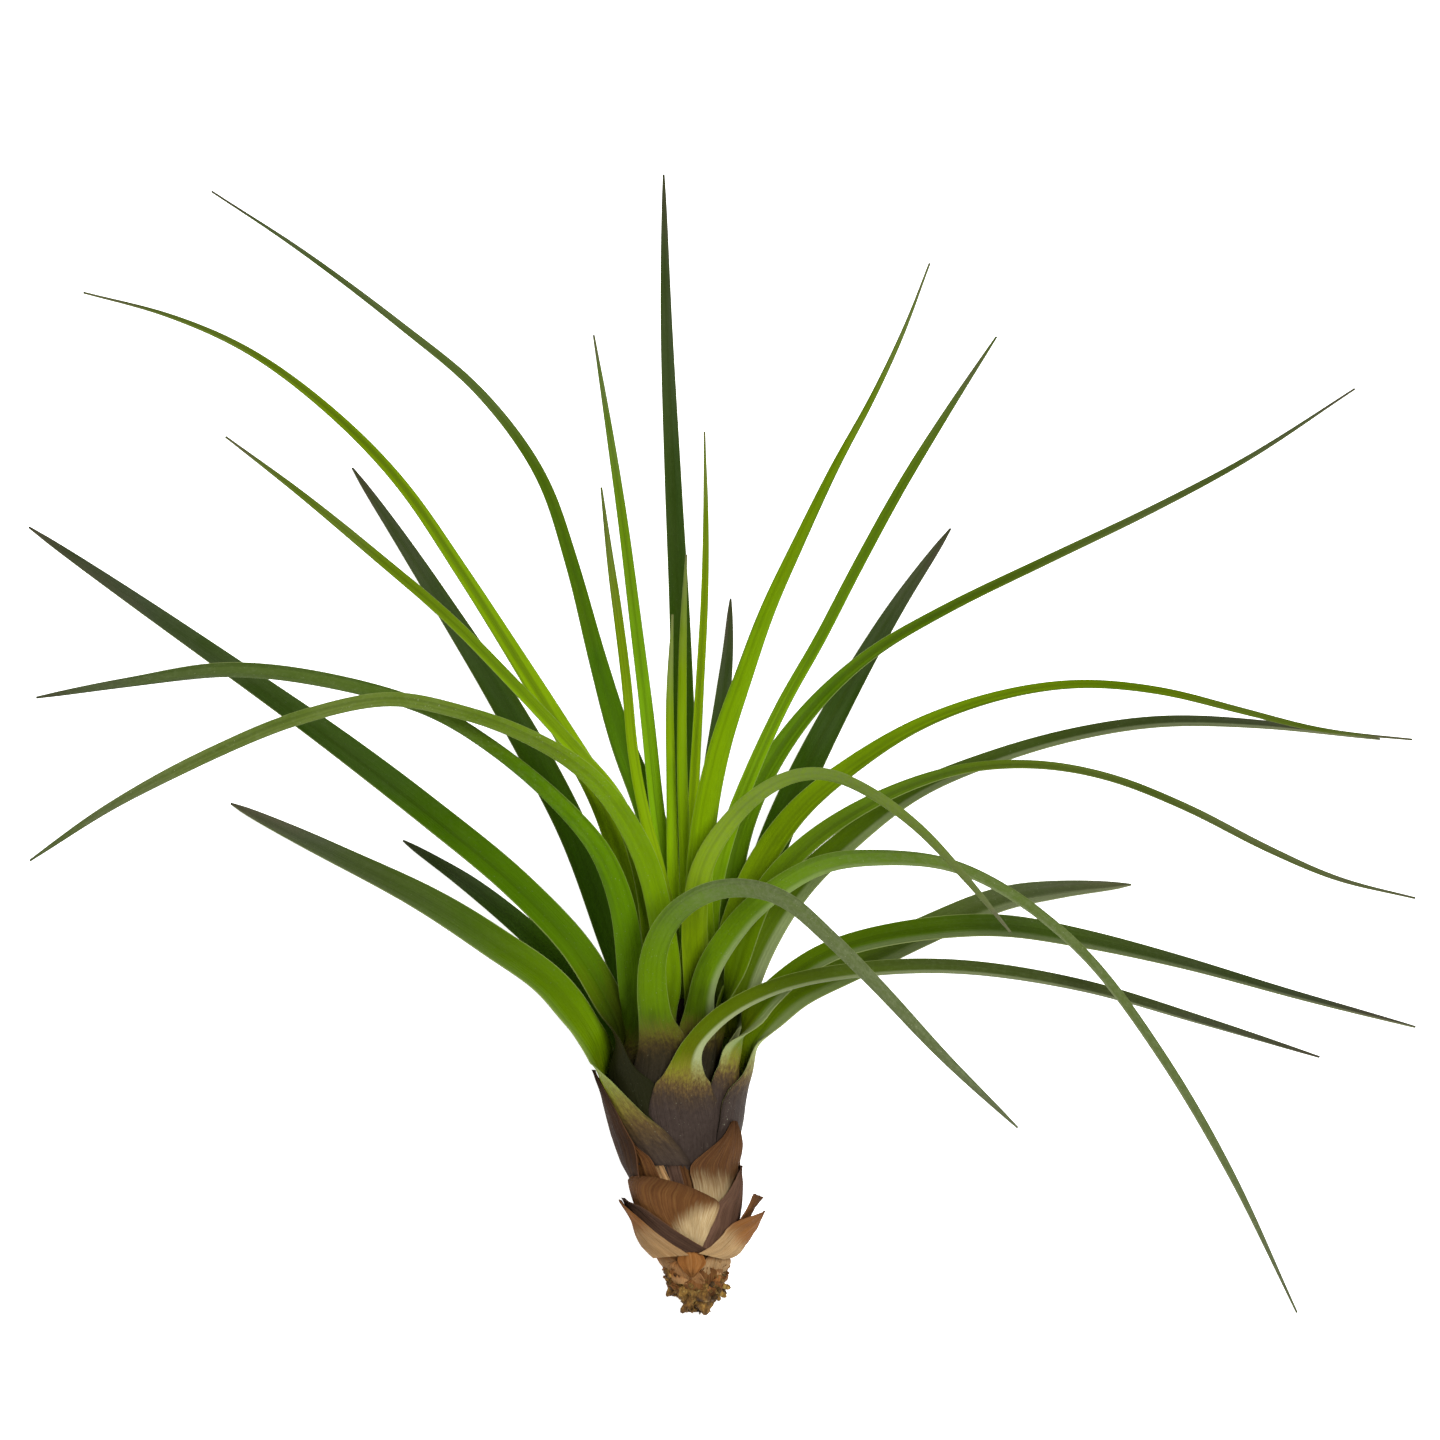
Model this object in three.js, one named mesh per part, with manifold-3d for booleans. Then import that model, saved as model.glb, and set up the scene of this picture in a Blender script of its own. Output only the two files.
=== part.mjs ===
// A bare-root air plant of the tricolor kind, lying on a surface as it does when it is out of its mount.
// The plant is modelled along its own axis: x to the right, y up the stem, z from the back leaves to the
// front ones, all in millimetres. The whole plant is then laid down, propped on its root end and on the
// tips of its back leaves.
import * as THREE from 'three';
import { mergeVertices } from 'three/addons/utils/BufferGeometryUtils.js';
import Module from 'manifold-3d';

const LEAN = THREE.MathUtils.degToRad(25);
const ROOT_AXIS_HEIGHT = 3;
const FOOTPRINT_CENTRE = [5.7, 94.2];

const LEAF_THICKNESS = 0.8;
const TIP_THICKNESS = 0.6;
const TIP_WIDTH = 0.8;
const WIDTH_AT = [0, 0.2, 0.5, 0.8, 1];
const CHANNEL = 0.42;
const SLIM_LEAF = 5;
const STATIONS = [0, 0.025, 0.055, 0.09, 0.13, 0.18, 0.24, 0.31, 0.39, 0.48, 0.57, 0.66, 0.75, 0.84, 0.92, 1];

const STEM_SIDES = 20;
const STEM_OUTLINE = [
  [4, 0.2], [5.3, 2.5], [5.5, 5], [5.9, 9], [6.9, 13.5], [8, 20], [9, 28], [9.9, 34], [10.4, 40],
];
const STEM_TOP = [0.8, 57.5];
const STEM_RIM = 40;
const GAP = 0.9;
const CLEARANCE = 0.5;
const TIDY_TOLERANCE = 0.06;
const SAME_POINT = 0.001;
const ROOT_SHIFT = 1.8;
const ROOT_SHIFT_BELOW = 22;

// Leaf bases stand in rings round the stem, the oldest outside. A ring lists the radius and height that
// its sheaths pass through: the two outer rings clasp the stem, the others stand on its cone.
const RINGS = [
  [[10, 27.5], [12, 34], [13.1, 40]],
  [[10.9, 33.5], [11.7, 40]],
  ...[10.2, 8.7, 7.2, 5.7, 4.2, 2.7].map((radius) => {
    const foot = coneHeight(radius - LEAF_THICKNESS / 2) + GAP;
    return [[radius, foot], [radius + 0.3, foot + 5]];
  }),
];

// Every leaf: its look, the ring and azimuth of its sheath (0 to the right, 90 to the front), the side
// that its outer face turns to (1 front, -1 back), the roll of its blade, its widths at the sheath and at
// a fifth, a half and four fifths of its length, and the points that its middle line passes through.
const LEAVES = [
  {
    name: 'right_10', look: 'scurfy', ring: 0, azimuth: 80, side: 1, roll: 30, widths: [13, 5.4, 2.8, 1.9],
    path: [
      [2, 47.5, 16], [7, 54.5, 21], [17, 59.5, 25], [31.5, 62.5, 27], [49, 63, 27], [70.5, 59.5, 26],
      [92, 53.5, 24], [113.5, 46.5, 20],
    ],
  },
  {
    name: 'left_8', look: 'dark', ring: 0, azimuth: 163, side: -1, roll: 35, widths: [13, 7.6, 5.2, 3.5],
    path: [
      [-16.5, 49, 3], [-24, 59, -2], [-34, 66.5, -8], [-46.5, 74.5, -17], [-65, 83.5, -30],
      [-83, 91.5, -44],
    ],
  },
  {
    name: 'right_8', look: 'dark', ring: 0, azimuth: 345, side: -1, roll: 35, widths: [10, 5.6, 5.6, 3.8],
    path: [
      [12, 47.5, -3], [18.5, 55.5, -6], [30.5, 62.5, -11], [44.5, 69, -18], [57, 74, -26],
      [68, 76, -32], [81, 76.5, -38.5],
    ],
  },
  {
    name: 'left_9', look: 'dark', ring: 0, azimuth: 238, side: -1, roll: 25, widths: [9, 5.6, 4.4, 3.1],
    path: [
      [-10.5, 49, -15], [-18, 58.5, -19], [-28.5, 68, -26], [-39.5, 77, -34], [-51.5, 84.5, -42],
    ],
  },
  {
    name: 'right_9', look: 'fresh', ring: 1, azimuth: 24, side: -1, roll: 40, widths: [8, 5.6, 4.2, 1.9],
    path: [
      [9.5, 47.5, 7], [17, 57.5, 11], [28.5, 64.5, 15], [42, 69, 17], [56.5, 70, 16], [71, 69, 14],
      [88.5, 64.5, 10], [110, 57.5, 5], [131.5, 51.5, 0],
    ],
  },
  {
    name: 'left_5', look: 'fresh', ring: 1, azimuth: 150, side: -1, roll: 30, widths: [11, 6.4, 4.9, 3],
    path: [
      [-13, 50, 4], [-19.5, 64, -1], [-30, 76.5, -6], [-46, 90, -16], [-64.5, 103.5, -26],
      [-81, 115.5, -33], [-101, 129.5, -40], [-120, 142, -46],
    ],
  },
  {
    name: 'left_4', look: 'dark', ring: 1, azimuth: 228, side: -1, roll: 15, widths: [10, 5.8, 6, 3.4],
    path: [
      [-9, 54.5, -12], [-14, 69.5, -21], [-20, 86, -32], [-26.5, 98.5, -40], [-34.5, 112, -49],
      [-43, 126, -57.5], [-53, 140.5, -67], [-61.5, 153, -74],
    ],
  },
  {
    name: 'right_1', look: 'dark', ring: 1, azimuth: 308, side: -1, roll: 15, widths: [9, 5.6, 5.5, 3.5],
    path: [
      [7.5, 52.5, -13], [11, 68.5, -23], [16, 85, -34], [23, 100, -43], [30.5, 114, -51.5],
      [39, 128, -61], [48.5, 142, -69],
    ],
  },
  {
    name: 'right_11', look: 'scurfy', ring: 2, azimuth: 104, side: 1, roll: 15, widths: [10, 6.2, 3.4, 2.2],
    path: [
      [-5.5, 53, 17], [-6, 64, 22], [-3, 70.5, 27], [2.5, 75.5, 34], [10, 77, 41], [18, 75, 50],
      [25.5, 68, 57], [34.5, 59.5, 63], [46, 47.5, 70], [58.5, 35.5, 77],
    ],
  },
  {
    name: 'right_4', look: 'fresh', ring: 2, azimuth: 5, side: -1, roll: 25, widths: [10, 6.8, 3.5, 2.2],
    path: [
      [9.5, 51, 1], [14, 63.5, 1], [20.5, 76, -2], [30, 85.5, -7], [41, 93.5, -12], [53.5, 99.5, -17],
      [70, 104.5, -22], [86, 106.5, -27], [104.5, 106.5, -31], [126.5, 103.5, -35],
    ],
  },
  {
    name: 'centre_6', look: 'dark', ring: 2, azimuth: 287, side: -1, roll: 5, widths: [7, 4, 3.6, 2.7],
    path: [
      [3, 56, -13], [3, 74, -22], [4, 86.5, -30], [5, 98.5, -38], [7, 110.5, -46], [8, 119.5, -53],
      [8, 129, -60],
    ],
  },
  {
    name: 'left_6', look: 'scurfy', ring: 2, azimuth: 176, side: 1, roll: 35, widths: [8, 4.2, 2.7, 2.6],
    path: [
      [-9.5, 51, 3], [-9.5, 62, 6], [-11.5, 73.5, 10], [-15, 83.5, 14], [-22.5, 91.5, 18],
      [-33, 100.5, 22], [-45.5, 108.5, 26], [-63, 114, 30], [-81, 116, 33], [-98.5, 114, 36],
      [-115.5, 111, 38],
    ],
  },
  {
    name: 'right_7', look: 'scurfy', ring: 3, azimuth: 60, side: 1, roll: 15, widths: [9, 4.6, 2.1, 1.6],
    path: [
      [2.5, 53, 10], [4, 61, 15], [7.5, 68, 20], [13, 74, 24], [24, 81, 29], [36.5, 82.5, 33],
      [47, 81, 36], [58, 75.5, 39], [70.5, 64, 42], [84.5, 47, 45], [96.5, 26.5, 47], [108.5, 1.5, 48],
    ],
  },
  {
    name: 'left_2', look: 'bright', ring: 3, azimuth: 182, side: -1, roll: 25, widths: [8, 5.2, 2.9, 1.4],
    path: [
      [-7, 56.5, 1.5], [-8.5, 69, 2], [-11, 81.5, 1.5], [-15.5, 93, 0], [-23, 106, -2],
      [-31, 119.5, -4], [-40, 133.5, -5], [-51.5, 149.5, -6], [-64, 162.5, -8], [-78.5, 173, -9],
      [-93, 179.5, -11], [-109, 184, -12],
    ],
  },
  {
    name: 'centre_3', look: 'dark', ring: 3, azimuth: 262, side: -1, roll: 0, widths: [8, 5.2, 3.8, 2.4],
    path: [
      [0, 56, -11], [0.5, 78, -17], [0, 101.5, -23], [-1, 125, -30], [-2.5, 150.5, -37],
      [-3.5, 180, -43], [-4, 206.5, -48],
    ],
  },
  {
    name: 'right_2', look: 'fresh', ring: 3, azimuth: 328, side: -1, roll: 25, widths: [8, 4.8, 2.2, 1.3],
    path: [
      [6, 60, -6], [7, 74, -9], [9.5, 87, -11], [15, 98, -13], [23.5, 110, -15], [33.5, 118.5, -17],
      [47.5, 127, -19], [66, 136, -22], [84.5, 144.5, -25], [102.5, 154.5, -28], [122, 167, -31],
    ],
  },
  {
    name: 'right_5', look: 'fresh', ring: 4, azimuth: 15, side: -1, roll: 35, widths: [7, 3.7, 2.1, 1.4],
    path: [
      [7.5, 56.5, 4], [10.5, 66.5, 6], [14.5, 76, 8], [20.5, 83, 9], [29.5, 89.5, 9], [40.5, 95.5, 9],
      [51, 98.5, 8], [63.5, 99, 8], [76.5, 96.5, 7], [90, 91.5, 6], [104.5, 85, 5], [117.5, 79, 5],
      [131, 75, 5],
    ],
  },
  {
    name: 'left_3', look: 'bright', ring: 4, azimuth: 160, side: -1, roll: 20, widths: [6, 3.9, 2.3, 1.5],
    path: [
      [-5.5, 58, 3.5], [-6, 71, 7], [-8, 81.5, 9.5], [-12.5, 93, 12], [-19.5, 101.5, 13],
      [-29.5, 112, 13], [-42, 124.5, 14], [-54.5, 135.5, 14], [-68.5, 147, 15], [-82, 157.5, 16],
    ],
  },
  {
    name: 'left_1', look: 'fresh', ring: 4, azimuth: 228, side: -1, roll: 20, widths: [7, 5.4, 2.7, 1.3],
    path: [
      [-3.5, 60, -7], [-3.5, 74, -10.5], [-6, 88.5, -13], [-11, 103, -15], [-15.5, 118.5, -18],
      [-20, 135, -21], [-26, 151.5, -24], [-37.5, 166, -27], [-52, 178.5, -29], [-70, 192, -32],
      [-86.5, 203, -34],
    ],
  },
  {
    name: 'right_6', look: 'bright', ring: 5, azimuth: 62, side: 1, roll: 10, widths: [6, 5.5, 2.9, 1.9],
    path: [
      [2.5, 60, 8.5], [2, 71, 13], [3.5, 81, 17], [9, 90, 21], [16.5, 95.5, 27], [24, 97, 35],
      [31.5, 94.5, 45], [40, 88, 56], [49, 79, 67], [57, 69.5, 78],
    ],
  },
  {
    name: 'right_3', look: 'bright', ring: 5, azimuth: 356, side: -1, roll: 25, widths: [6, 5.1, 2.4, 1.3],
    path: [
      [6.5, 60, -0.5], [9, 70.5, -0.5], [13, 80.5, 0.5], [20, 90.5, 3], [30.5, 99.5, 5],
      [42.5, 106, 8], [56.5, 111, 10], [71, 113, 12], [85, 112, 12], [99.5, 108.5, 12], [114, 105, 11],
      [130.5, 103, 10],
    ],
  },
  {
    name: 'centre_2', look: 'fresh', ring: 5, azimuth: 200, side: -1, roll: 5, widths: [5, 3.2, 2.5, 1.6],
    path: [
      [-3, 63.5, -2], [-2.5, 78, -3], [-4.5, 92.5, -4], [-6.5, 106.5, -5], [-8.5, 123, -6],
      [-11, 143, -7], [-14, 161, -8], [-16.5, 176, -9],
    ],
  },
  {
    name: 'left_7', look: 'scurfy', ring: 5, azimuth: 126, side: 1, roll: 30, widths: [5, 4.2, 3, 2.4],
    path: [
      [-3, 58.5, 7], [-4.5, 71, 12], [-7, 81.5, 17], [-12.5, 92.5, 22.5], [-19.5, 99, 27],
      [-29.5, 104.5, 31], [-40, 108.5, 36], [-52.5, 110.5, 41], [-68, 108, 47], [-83.5, 101.5, 53],
      [-101.5, 92, 60], [-115, 82, 65],
    ],
  },
  {
    name: 'centre_7', look: 'bright', ring: 6, azimuth: 50, side: 1, roll: 10, widths: [5, 5.2, 3, 1.3],
    path: [
      [3, 63.5, 5], [2.5, 76, 8], [3.5, 89, 12], [6.5, 101.5, 18], [11, 114.5, 24], [15, 126, 30],
      [20.5, 137.5, 36], [27, 151.5, 44], [33, 163.5, 51], [39, 175.5, 57], [43, 187.5, 62],
    ],
  },
  {
    name: 'centre_8', look: 'bright', ring: 6, azimuth: 326, side: -1, roll: 10, widths: [5, 3.5, 2.2, 1.4],
    path: [
      [4, 65.5, -3], [5, 75, -4], [7.5, 85.5, -4], [11.5, 97, -5], [17.5, 109.5, -6],
      [24.5, 121.5, -6], [31, 134, -7], [39.5, 149.5, -8], [47.5, 163, -9], [56.5, 176, -10],
    ],
  },
  {
    name: 'centre_1', look: 'bright', ring: 6, azimuth: 160, side: 1, roll: 5, widths: [4, 2.8, 2.1, 1.4],
    path: [
      [-2.5, 65.5, 2], [-3, 80, 3.5], [-5, 92.5, 5], [-7.5, 105, 6], [-11.5, 119.5, 7],
      [-13.5, 133.5, 8], [-15, 148.5, 9],
    ],
  },
  {
    name: 'centre_5', look: 'fresh', ring: 6, azimuth: 275, side: -1, roll: 5, widths: [4, 2.3, 1.7, 1.2],
    path: [
      [0.5, 65.5, -5.5], [1, 79.5, -6], [1.5, 92.5, -6], [2.5, 110.5, -5.5], [3.5, 128.5, -5],
      [4, 143, -4], [3.5, 159, -4],
    ],
  },
  {
    name: 'centre_4', look: 'bright', ring: 7, azimuth: 180, side: 1, roll: 5, widths: [3, 2.2, 1.9, 1.3],
    path: [
      [-2, 69, 0.5], [-2, 83.5, 1], [-2.5, 96, 1.5], [-2.5, 110.5, 2], [-2.5, 125.5, 2],
    ],
  },
  {
    name: 'centre_9', look: 'bright', ring: 7, azimuth: 60, side: 1, roll: 5, widths: [3, 2.2, 1.9, 1.4],
    path: [
      [0.5, 69, 3], [0, 83.5, 3.5], [-0.5, 98, 4], [-0.5, 112, 4], [0, 124.5, 4], [0.5, 136.5, 4],
    ],
  },
];

// Dry sheaths of the lost lower leaves: azimuth, height of the foot and of the tip, how far the middle
// and the tip stand out from the stem, and width.
const DRY_SHEATHS = [
  [60, 5, 12, 0.4, 0.9, 9],
  [120, 5, 11, 0.4, 0.6, 7],
  [262, 6, 12.5, 0.4, 1.2, 9],
  [160, 9, 21, 0.9, 3.4, 13],
  [12, 9, 18.5, 1.4, 6.6, 10],
  [345, 11, 21.5, 1.2, 5.8, 8],
  [225, 8, 20, 0.7, 2.6, 12],
  [300, 8, 19, 0.8, 3, 12],
  [98, 13, 26, 0.4, 0.6, 13],
  [42, 13, 26, 0.6, 1.4, 11],
  [270, 12, 26, 0.5, 1.4, 13],
  [195, 19, 43.5, 3, 5.4, 15],
];
const SHEATH_SUNK = 1.2;

// Root stubs at the foot of the stem: azimuth, height, length and how far each dips.
const ROOT_STUBS = [
  [165, 3.2, 2.6, -1.2],
  [20, 5.2, 3.4, 0.4],
  [75, 1.6, 2.6, -1.4],
  [130, 1.2, 2.2, -1.2],
  [300, 4.2, 3, 0.6],
];
const STUB_RADIUS = 0.9;

const LOOKS = {
  stem: new THREE.MeshStandardMaterial({ color: 0x6a4c35, roughness: 0.85, metalness: 0 }),
  bright: new THREE.MeshStandardMaterial({ color: 0x6c8f0a, roughness: 0.5, metalness: 0 }),
  fresh: new THREE.MeshStandardMaterial({ color: 0x4f7a12, roughness: 0.5, metalness: 0 }),
  scurfy: new THREE.MeshStandardMaterial({ color: 0x627540, roughness: 0.65, metalness: 0 }),
  dark: new THREE.MeshStandardMaterial({ color: 0x33491f, roughness: 0.5, metalness: 0 }),
};

const wasm = await Module();
wasm.setup();

// Height of the stem's top cone at a radius.
function coneHeight(radius) {
  const [rimRadius, rimHeight] = STEM_OUTLINE[STEM_OUTLINE.length - 1];
  const [tipRadius, tipHeight] = STEM_TOP;
  return rimHeight + ((rimRadius - radius) * (tipHeight - rimHeight)) / (rimRadius - tipRadius);
}

// Radius of the stem at a height below its rim.
function stemRadius(height) {
  const above = STEM_OUTLINE.findIndex(([, y]) => y >= Math.min(height, STEM_RIM));
  const [r1, y1] = STEM_OUTLINE[above];
  const [r0, y0] = STEM_OUTLINE[Math.max(0, above - 1)];
  return THREE.MathUtils.mapLinear(Math.min(height, STEM_RIM), y0, y1, r0, r1);
}

// Point at a radius, height and azimuth round the plant's axis.
function polar(radius, height, azimuth) {
  return new THREE.Vector3(radius * Math.cos(azimuth), height, radius * Math.sin(azimuth));
}

// A closed blade swept along a middle line. At each station its cross section is an arc of the given
// half angle, hollow towards the inner face, and both faces are split into triangles alike. The spare is
// added all round, to make the solid that the blade's neighbours keep out of.
function bladeGeometry({ line, stations, across, facing, width, bend, thickness, spare = 0 }) {
  const positions = [];
  for (const u of stations) {
    const centre = line.getPointAt(u);
    const along = line.getTangentAt(u);
    const outward = facing(u).projectOnPlane(along).normalize();
    const sideways = new THREE.Vector3().crossVectors(along, outward);
    const radius = width(u) / 2 / Math.sin(bend(u));
    const halfAngle = bend(u) + spare / radius;
    for (const face of [1, -1]) {
      for (let i = 0; i < across; i += 1) {
        const angle = face * halfAngle * ((2 * i) / (across - 1) - 1);
        const reach = radius + face * (thickness(u) / 2 + spare);
        const point = centre.clone().addScaledVector(sideways, reach * Math.sin(angle));
        point.addScaledVector(outward, reach * Math.cos(angle) - radius);
        positions.push(point.x, point.y, point.z);
      }
    }
  }
  const ring = 2 * across;
  const triangles = [];
  for (let k = 0; k + 1 < stations.length; k += 1) {
    for (let i = 0; i < ring; i += 1) {
      const a = k * ring + i;
      const b = k * ring + ((i + 1) % ring);
      const [c, d] = [a + ring, b + ring];
      if (i < across) triangles.push(a, b, d, a, d, c);
      else triangles.push(a, b, c, b, d, c);
    }
  }
  const last = (stations.length - 1) * ring;
  for (let i = 0; i + 1 < across; i += 1) {
    const [a, b, c, d] = [i, i + 1, ring - 1 - i, ring - 2 - i];
    triangles.push(a, d, b, a, c, d);
    triangles.push(last + a, last + b, last + d, last + a, last + d, last + c);
  }
  const geometry = new THREE.BufferGeometry();
  geometry.setAttribute('position', new THREE.Float32BufferAttribute(positions, 3));
  geometry.setIndex(triangles);
  geometry.computeVertexNormals();
  return geometry;
}

// A green leaf, from the sheath that clasps the stem to the long drawn-out tip.
function leafGeometry({ ring, azimuth, side, roll, widths, path }, spare = 0) {
  const around = THREE.MathUtils.degToRad(azimuth);
  const tilt = THREE.MathUtils.degToRad(roll);
  const foot = RINGS[ring].map(([radius, height]) => polar(radius, height, around));
  foot[0].y -= spare;
  const points = [...foot, ...path.map((p) => new THREE.Vector3(...p))];
  const line = new THREE.CatmullRomCurve3(points, false, 'centripetal');
  const atSheath = new THREE.Vector3(Math.cos(around), 0, Math.sin(around));
  const atBlade = new THREE.Vector3(0, -Math.sin(tilt), side * Math.cos(tilt));
  const widthCurve = new THREE.CubicInterpolant(WIDTH_AT, [...widths, TIP_WIDTH], 1);
  const sheathBend = Math.min(widths[0] / 2 / RINGS[ring][0][0], 1.25);
  return bladeGeometry({
    line,
    stations: STATIONS,
    across: widths[1] < SLIM_LEAF ? 3 : 5,
    facing: (u) => atSheath.clone().lerp(atBlade, THREE.MathUtils.smoothstep(u, 0.04, 0.32)),
    width: (u) => Math.max(TIP_WIDTH, widthCurve.evaluate(u)[0]),
    bend: (u) => THREE.MathUtils.lerp(sheathBend, CHANNEL, THREE.MathUtils.smoothstep(u, 0, 0.2)),
    thickness: (u) => THREE.MathUtils.lerp(LEAF_THICKNESS, TIP_THICKNESS, u),
    spare,
  });
}

// A dry sheath that lies on the stem, its foot sunk in and its pointed tip standing off.
function drySheathGeometry([azimuth, foot, tip, middleOff, tipOff, width]) {
  const around = THREE.MathUtils.degToRad(azimuth);
  const middle = (foot + tip) / 2;
  const line = new THREE.CatmullRomCurve3([
    polar(stemRadius(foot) - SHEATH_SUNK, foot, around),
    polar(stemRadius(middle) + middleOff, middle, around),
    polar(stemRadius(tip) + tipOff, tip, around),
  ]);
  const widths = [width * 0.8, width, width * 0.6, 1];
  const widthCurve = new THREE.CubicInterpolant([0, 0.35, 0.75, 1], widths, 1);
  const outward = new THREE.Vector3(Math.cos(around), 0, Math.sin(around));
  return bladeGeometry({
    line,
    stations: [0, 0.35, 0.7, 1],
    across: 4,
    facing: () => outward.clone(),
    width: (u) => widthCurve.evaluate(u)[0],
    bend: (u) => Math.min(1.3, widthCurve.evaluate(u)[0] / 2 / stemRadius(middle)),
    thickness: () => LEAF_THICKNESS,
  });
}

// A short broken root that leaves the foot of the stem.
function rootStubGeometry([azimuth, height, length, dip]) {
  const around = THREE.MathUtils.degToRad(azimuth);
  const start = polar(stemRadius(height) - SHEATH_SUNK, height, around);
  const end = polar(stemRadius(height) - SHEATH_SUNK + length, height + dip, around);
  const direction = end.clone().sub(start);
  const stub = new THREE.CylinderGeometry(STUB_RADIUS * 0.5, STUB_RADIUS, direction.length(), 6);
  stub.translate(0, direction.length() / 2, 0);
  stub.applyQuaternion(
    new THREE.Quaternion().setFromUnitVectors(new THREE.Vector3(0, 1, 0), direction.normalize()),
  );
  return stub.translate(start.x, start.y, start.z);
}

// Three.js geometry to a manifold-3d solid and back.
function toSolid(geometry) {
  const bare = geometry.clone();
  bare.deleteAttribute('normal');
  bare.deleteAttribute('uv');
  const merged = mergeVertices(bare, SAME_POINT);
  return new wasm.Manifold(new wasm.Mesh({
    numProp: 3,
    vertProperties: new Float32Array(merged.attributes.position.array),
    triVerts: new Uint32Array(merged.index.array),
  }));
}

function toGeometry(solid) {
  const mesh = solid.getMesh();
  const geometry = new THREE.BufferGeometry();
  geometry.setAttribute('position', new THREE.Float32BufferAttribute(mesh.vertProperties, 3));
  geometry.setIndex(Array.from(mesh.triVerts));
  geometry.computeVertexNormals();
  return geometry;
}

// The biggest connected piece of a solid whose nearly equal points are merged, with the pockets that its
// parts enclose filled in.
function biggestPiece(solid) {
  const pieces = toSolid(toGeometry(solid)).decompose();
  return pieces.reduce((best, piece) => (piece.volume() > best.volume() ? piece : best));
}

// The short woody stem with its dry sheaths and root stubs, all grown from it, and the small flat that
// its root end rests on. The root end stands a little to the right of the stem's axis.
function stemSolid() {
  const outline = [[0, STEM_OUTLINE[0][1]], ...STEM_OUTLINE, STEM_TOP, [0, STEM_TOP[1]]];
  const profile = outline.map(([radius, height]) => new THREE.Vector2(radius, height));
  let solid = toSolid(new THREE.LatheGeometry(profile, STEM_SIDES));
  for (const sheath of DRY_SHEATHS) solid = solid.add(toSolid(drySheathGeometry(sheath)));
  for (const stub of ROOT_STUBS) solid = solid.add(toSolid(rootStubGeometry(stub)));
  const shifted = solid.warp((point) => {
    point[0] += ROOT_SHIFT * Math.max(0, 1 - point[1] / ROOT_SHIFT_BELOW);
  });
  const rested = shifted.trimByPlane([0, Math.sin(LEAN), Math.cos(LEAN)], -ROOT_AXIS_HEIGHT);
  return rested.simplify(TIDY_TOLERANCE);
}

// A solid cut back wherever it would come too near one of the others, without the needless small faces
// that the cuts leave.
function keptClear(solid, others) {
  const near = others.filter((other) => solid.intersect(other).volume() > 0);
  const cut = near.reduce((rest, other) => rest.subtract(other), solid);
  return cut.simplify(TIDY_TOLERANCE);
}

function namedMesh(name, geometry, material) {
  const mesh = new THREE.Mesh(geometry, material);
  mesh.name = name;
  return mesh;
}

const upright = new THREE.Group();
const taken = [];
for (const leaf of LEAVES) {
  const solid = biggestPiece(keptClear(toSolid(leafGeometry(leaf)), taken));
  upright.add(namedMesh(`leaf_${leaf.name}`, toGeometry(solid), LOOKS[leaf.look]));
  taken.push(toSolid(leafGeometry(leaf, CLEARANCE)));
}
const stem = biggestPiece(keptClear(stemSolid(), taken));
upright.add(namedMesh('stem', toGeometry(stem), LOOKS.stem));
upright.rotation.x = LEAN;
upright.position.set(-FOOTPRINT_CENTRE[0], -FOOTPRINT_CENTRE[1], ROOT_AXIS_HEIGHT);

const plant = new THREE.Group();
plant.add(upright);

export default plant;
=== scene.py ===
import math
import random
import bpy
import numpy as np
from mathutils import Matrix, Vector


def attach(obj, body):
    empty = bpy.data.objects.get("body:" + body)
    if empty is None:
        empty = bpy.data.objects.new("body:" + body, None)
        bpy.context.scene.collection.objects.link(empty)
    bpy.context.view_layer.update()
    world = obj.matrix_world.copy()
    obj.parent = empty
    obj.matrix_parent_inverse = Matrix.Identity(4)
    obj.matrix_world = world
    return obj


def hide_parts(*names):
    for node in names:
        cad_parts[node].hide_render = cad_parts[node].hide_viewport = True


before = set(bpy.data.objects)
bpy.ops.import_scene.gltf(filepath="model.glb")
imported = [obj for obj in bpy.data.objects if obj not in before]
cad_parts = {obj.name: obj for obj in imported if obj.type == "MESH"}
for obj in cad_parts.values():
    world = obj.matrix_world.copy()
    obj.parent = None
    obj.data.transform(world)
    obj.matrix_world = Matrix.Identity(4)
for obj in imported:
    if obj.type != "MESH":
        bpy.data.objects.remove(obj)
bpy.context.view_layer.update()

# A bare-root air plant lying on a pale floor. Every shape is laid out in the plant's own frame, in
# millimetres: x to the right, y up the stem, z from the back leaves to the front ones. to_world turns
# that into the frame's metres, with the plant laid down on its back leaves.
MM = 0.001
LEAN = math.radians(25)
ROOT_AXIS_HEIGHT = 3
FOOTPRINT_CENTRE = (5.7, 94.2)
CAMERA_AIM = (6.3, 106.74, 0)
CAMERA_DISTANCE = 3000
VIEW_WIDTH = 259.2
SENSOR = 36

STEM_RIM = 40
STEM_TOP = (0.8, 57.5)
RIM_RADIUS = 10.4
SHEATH_THICKNESS = 0.8


def cone_height(radius):
    rise = (STEM_TOP[1] - STEM_RIM) / (RIM_RADIUS - STEM_TOP[0])
    return STEM_RIM + (RIM_RADIUS - radius) * rise


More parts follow.
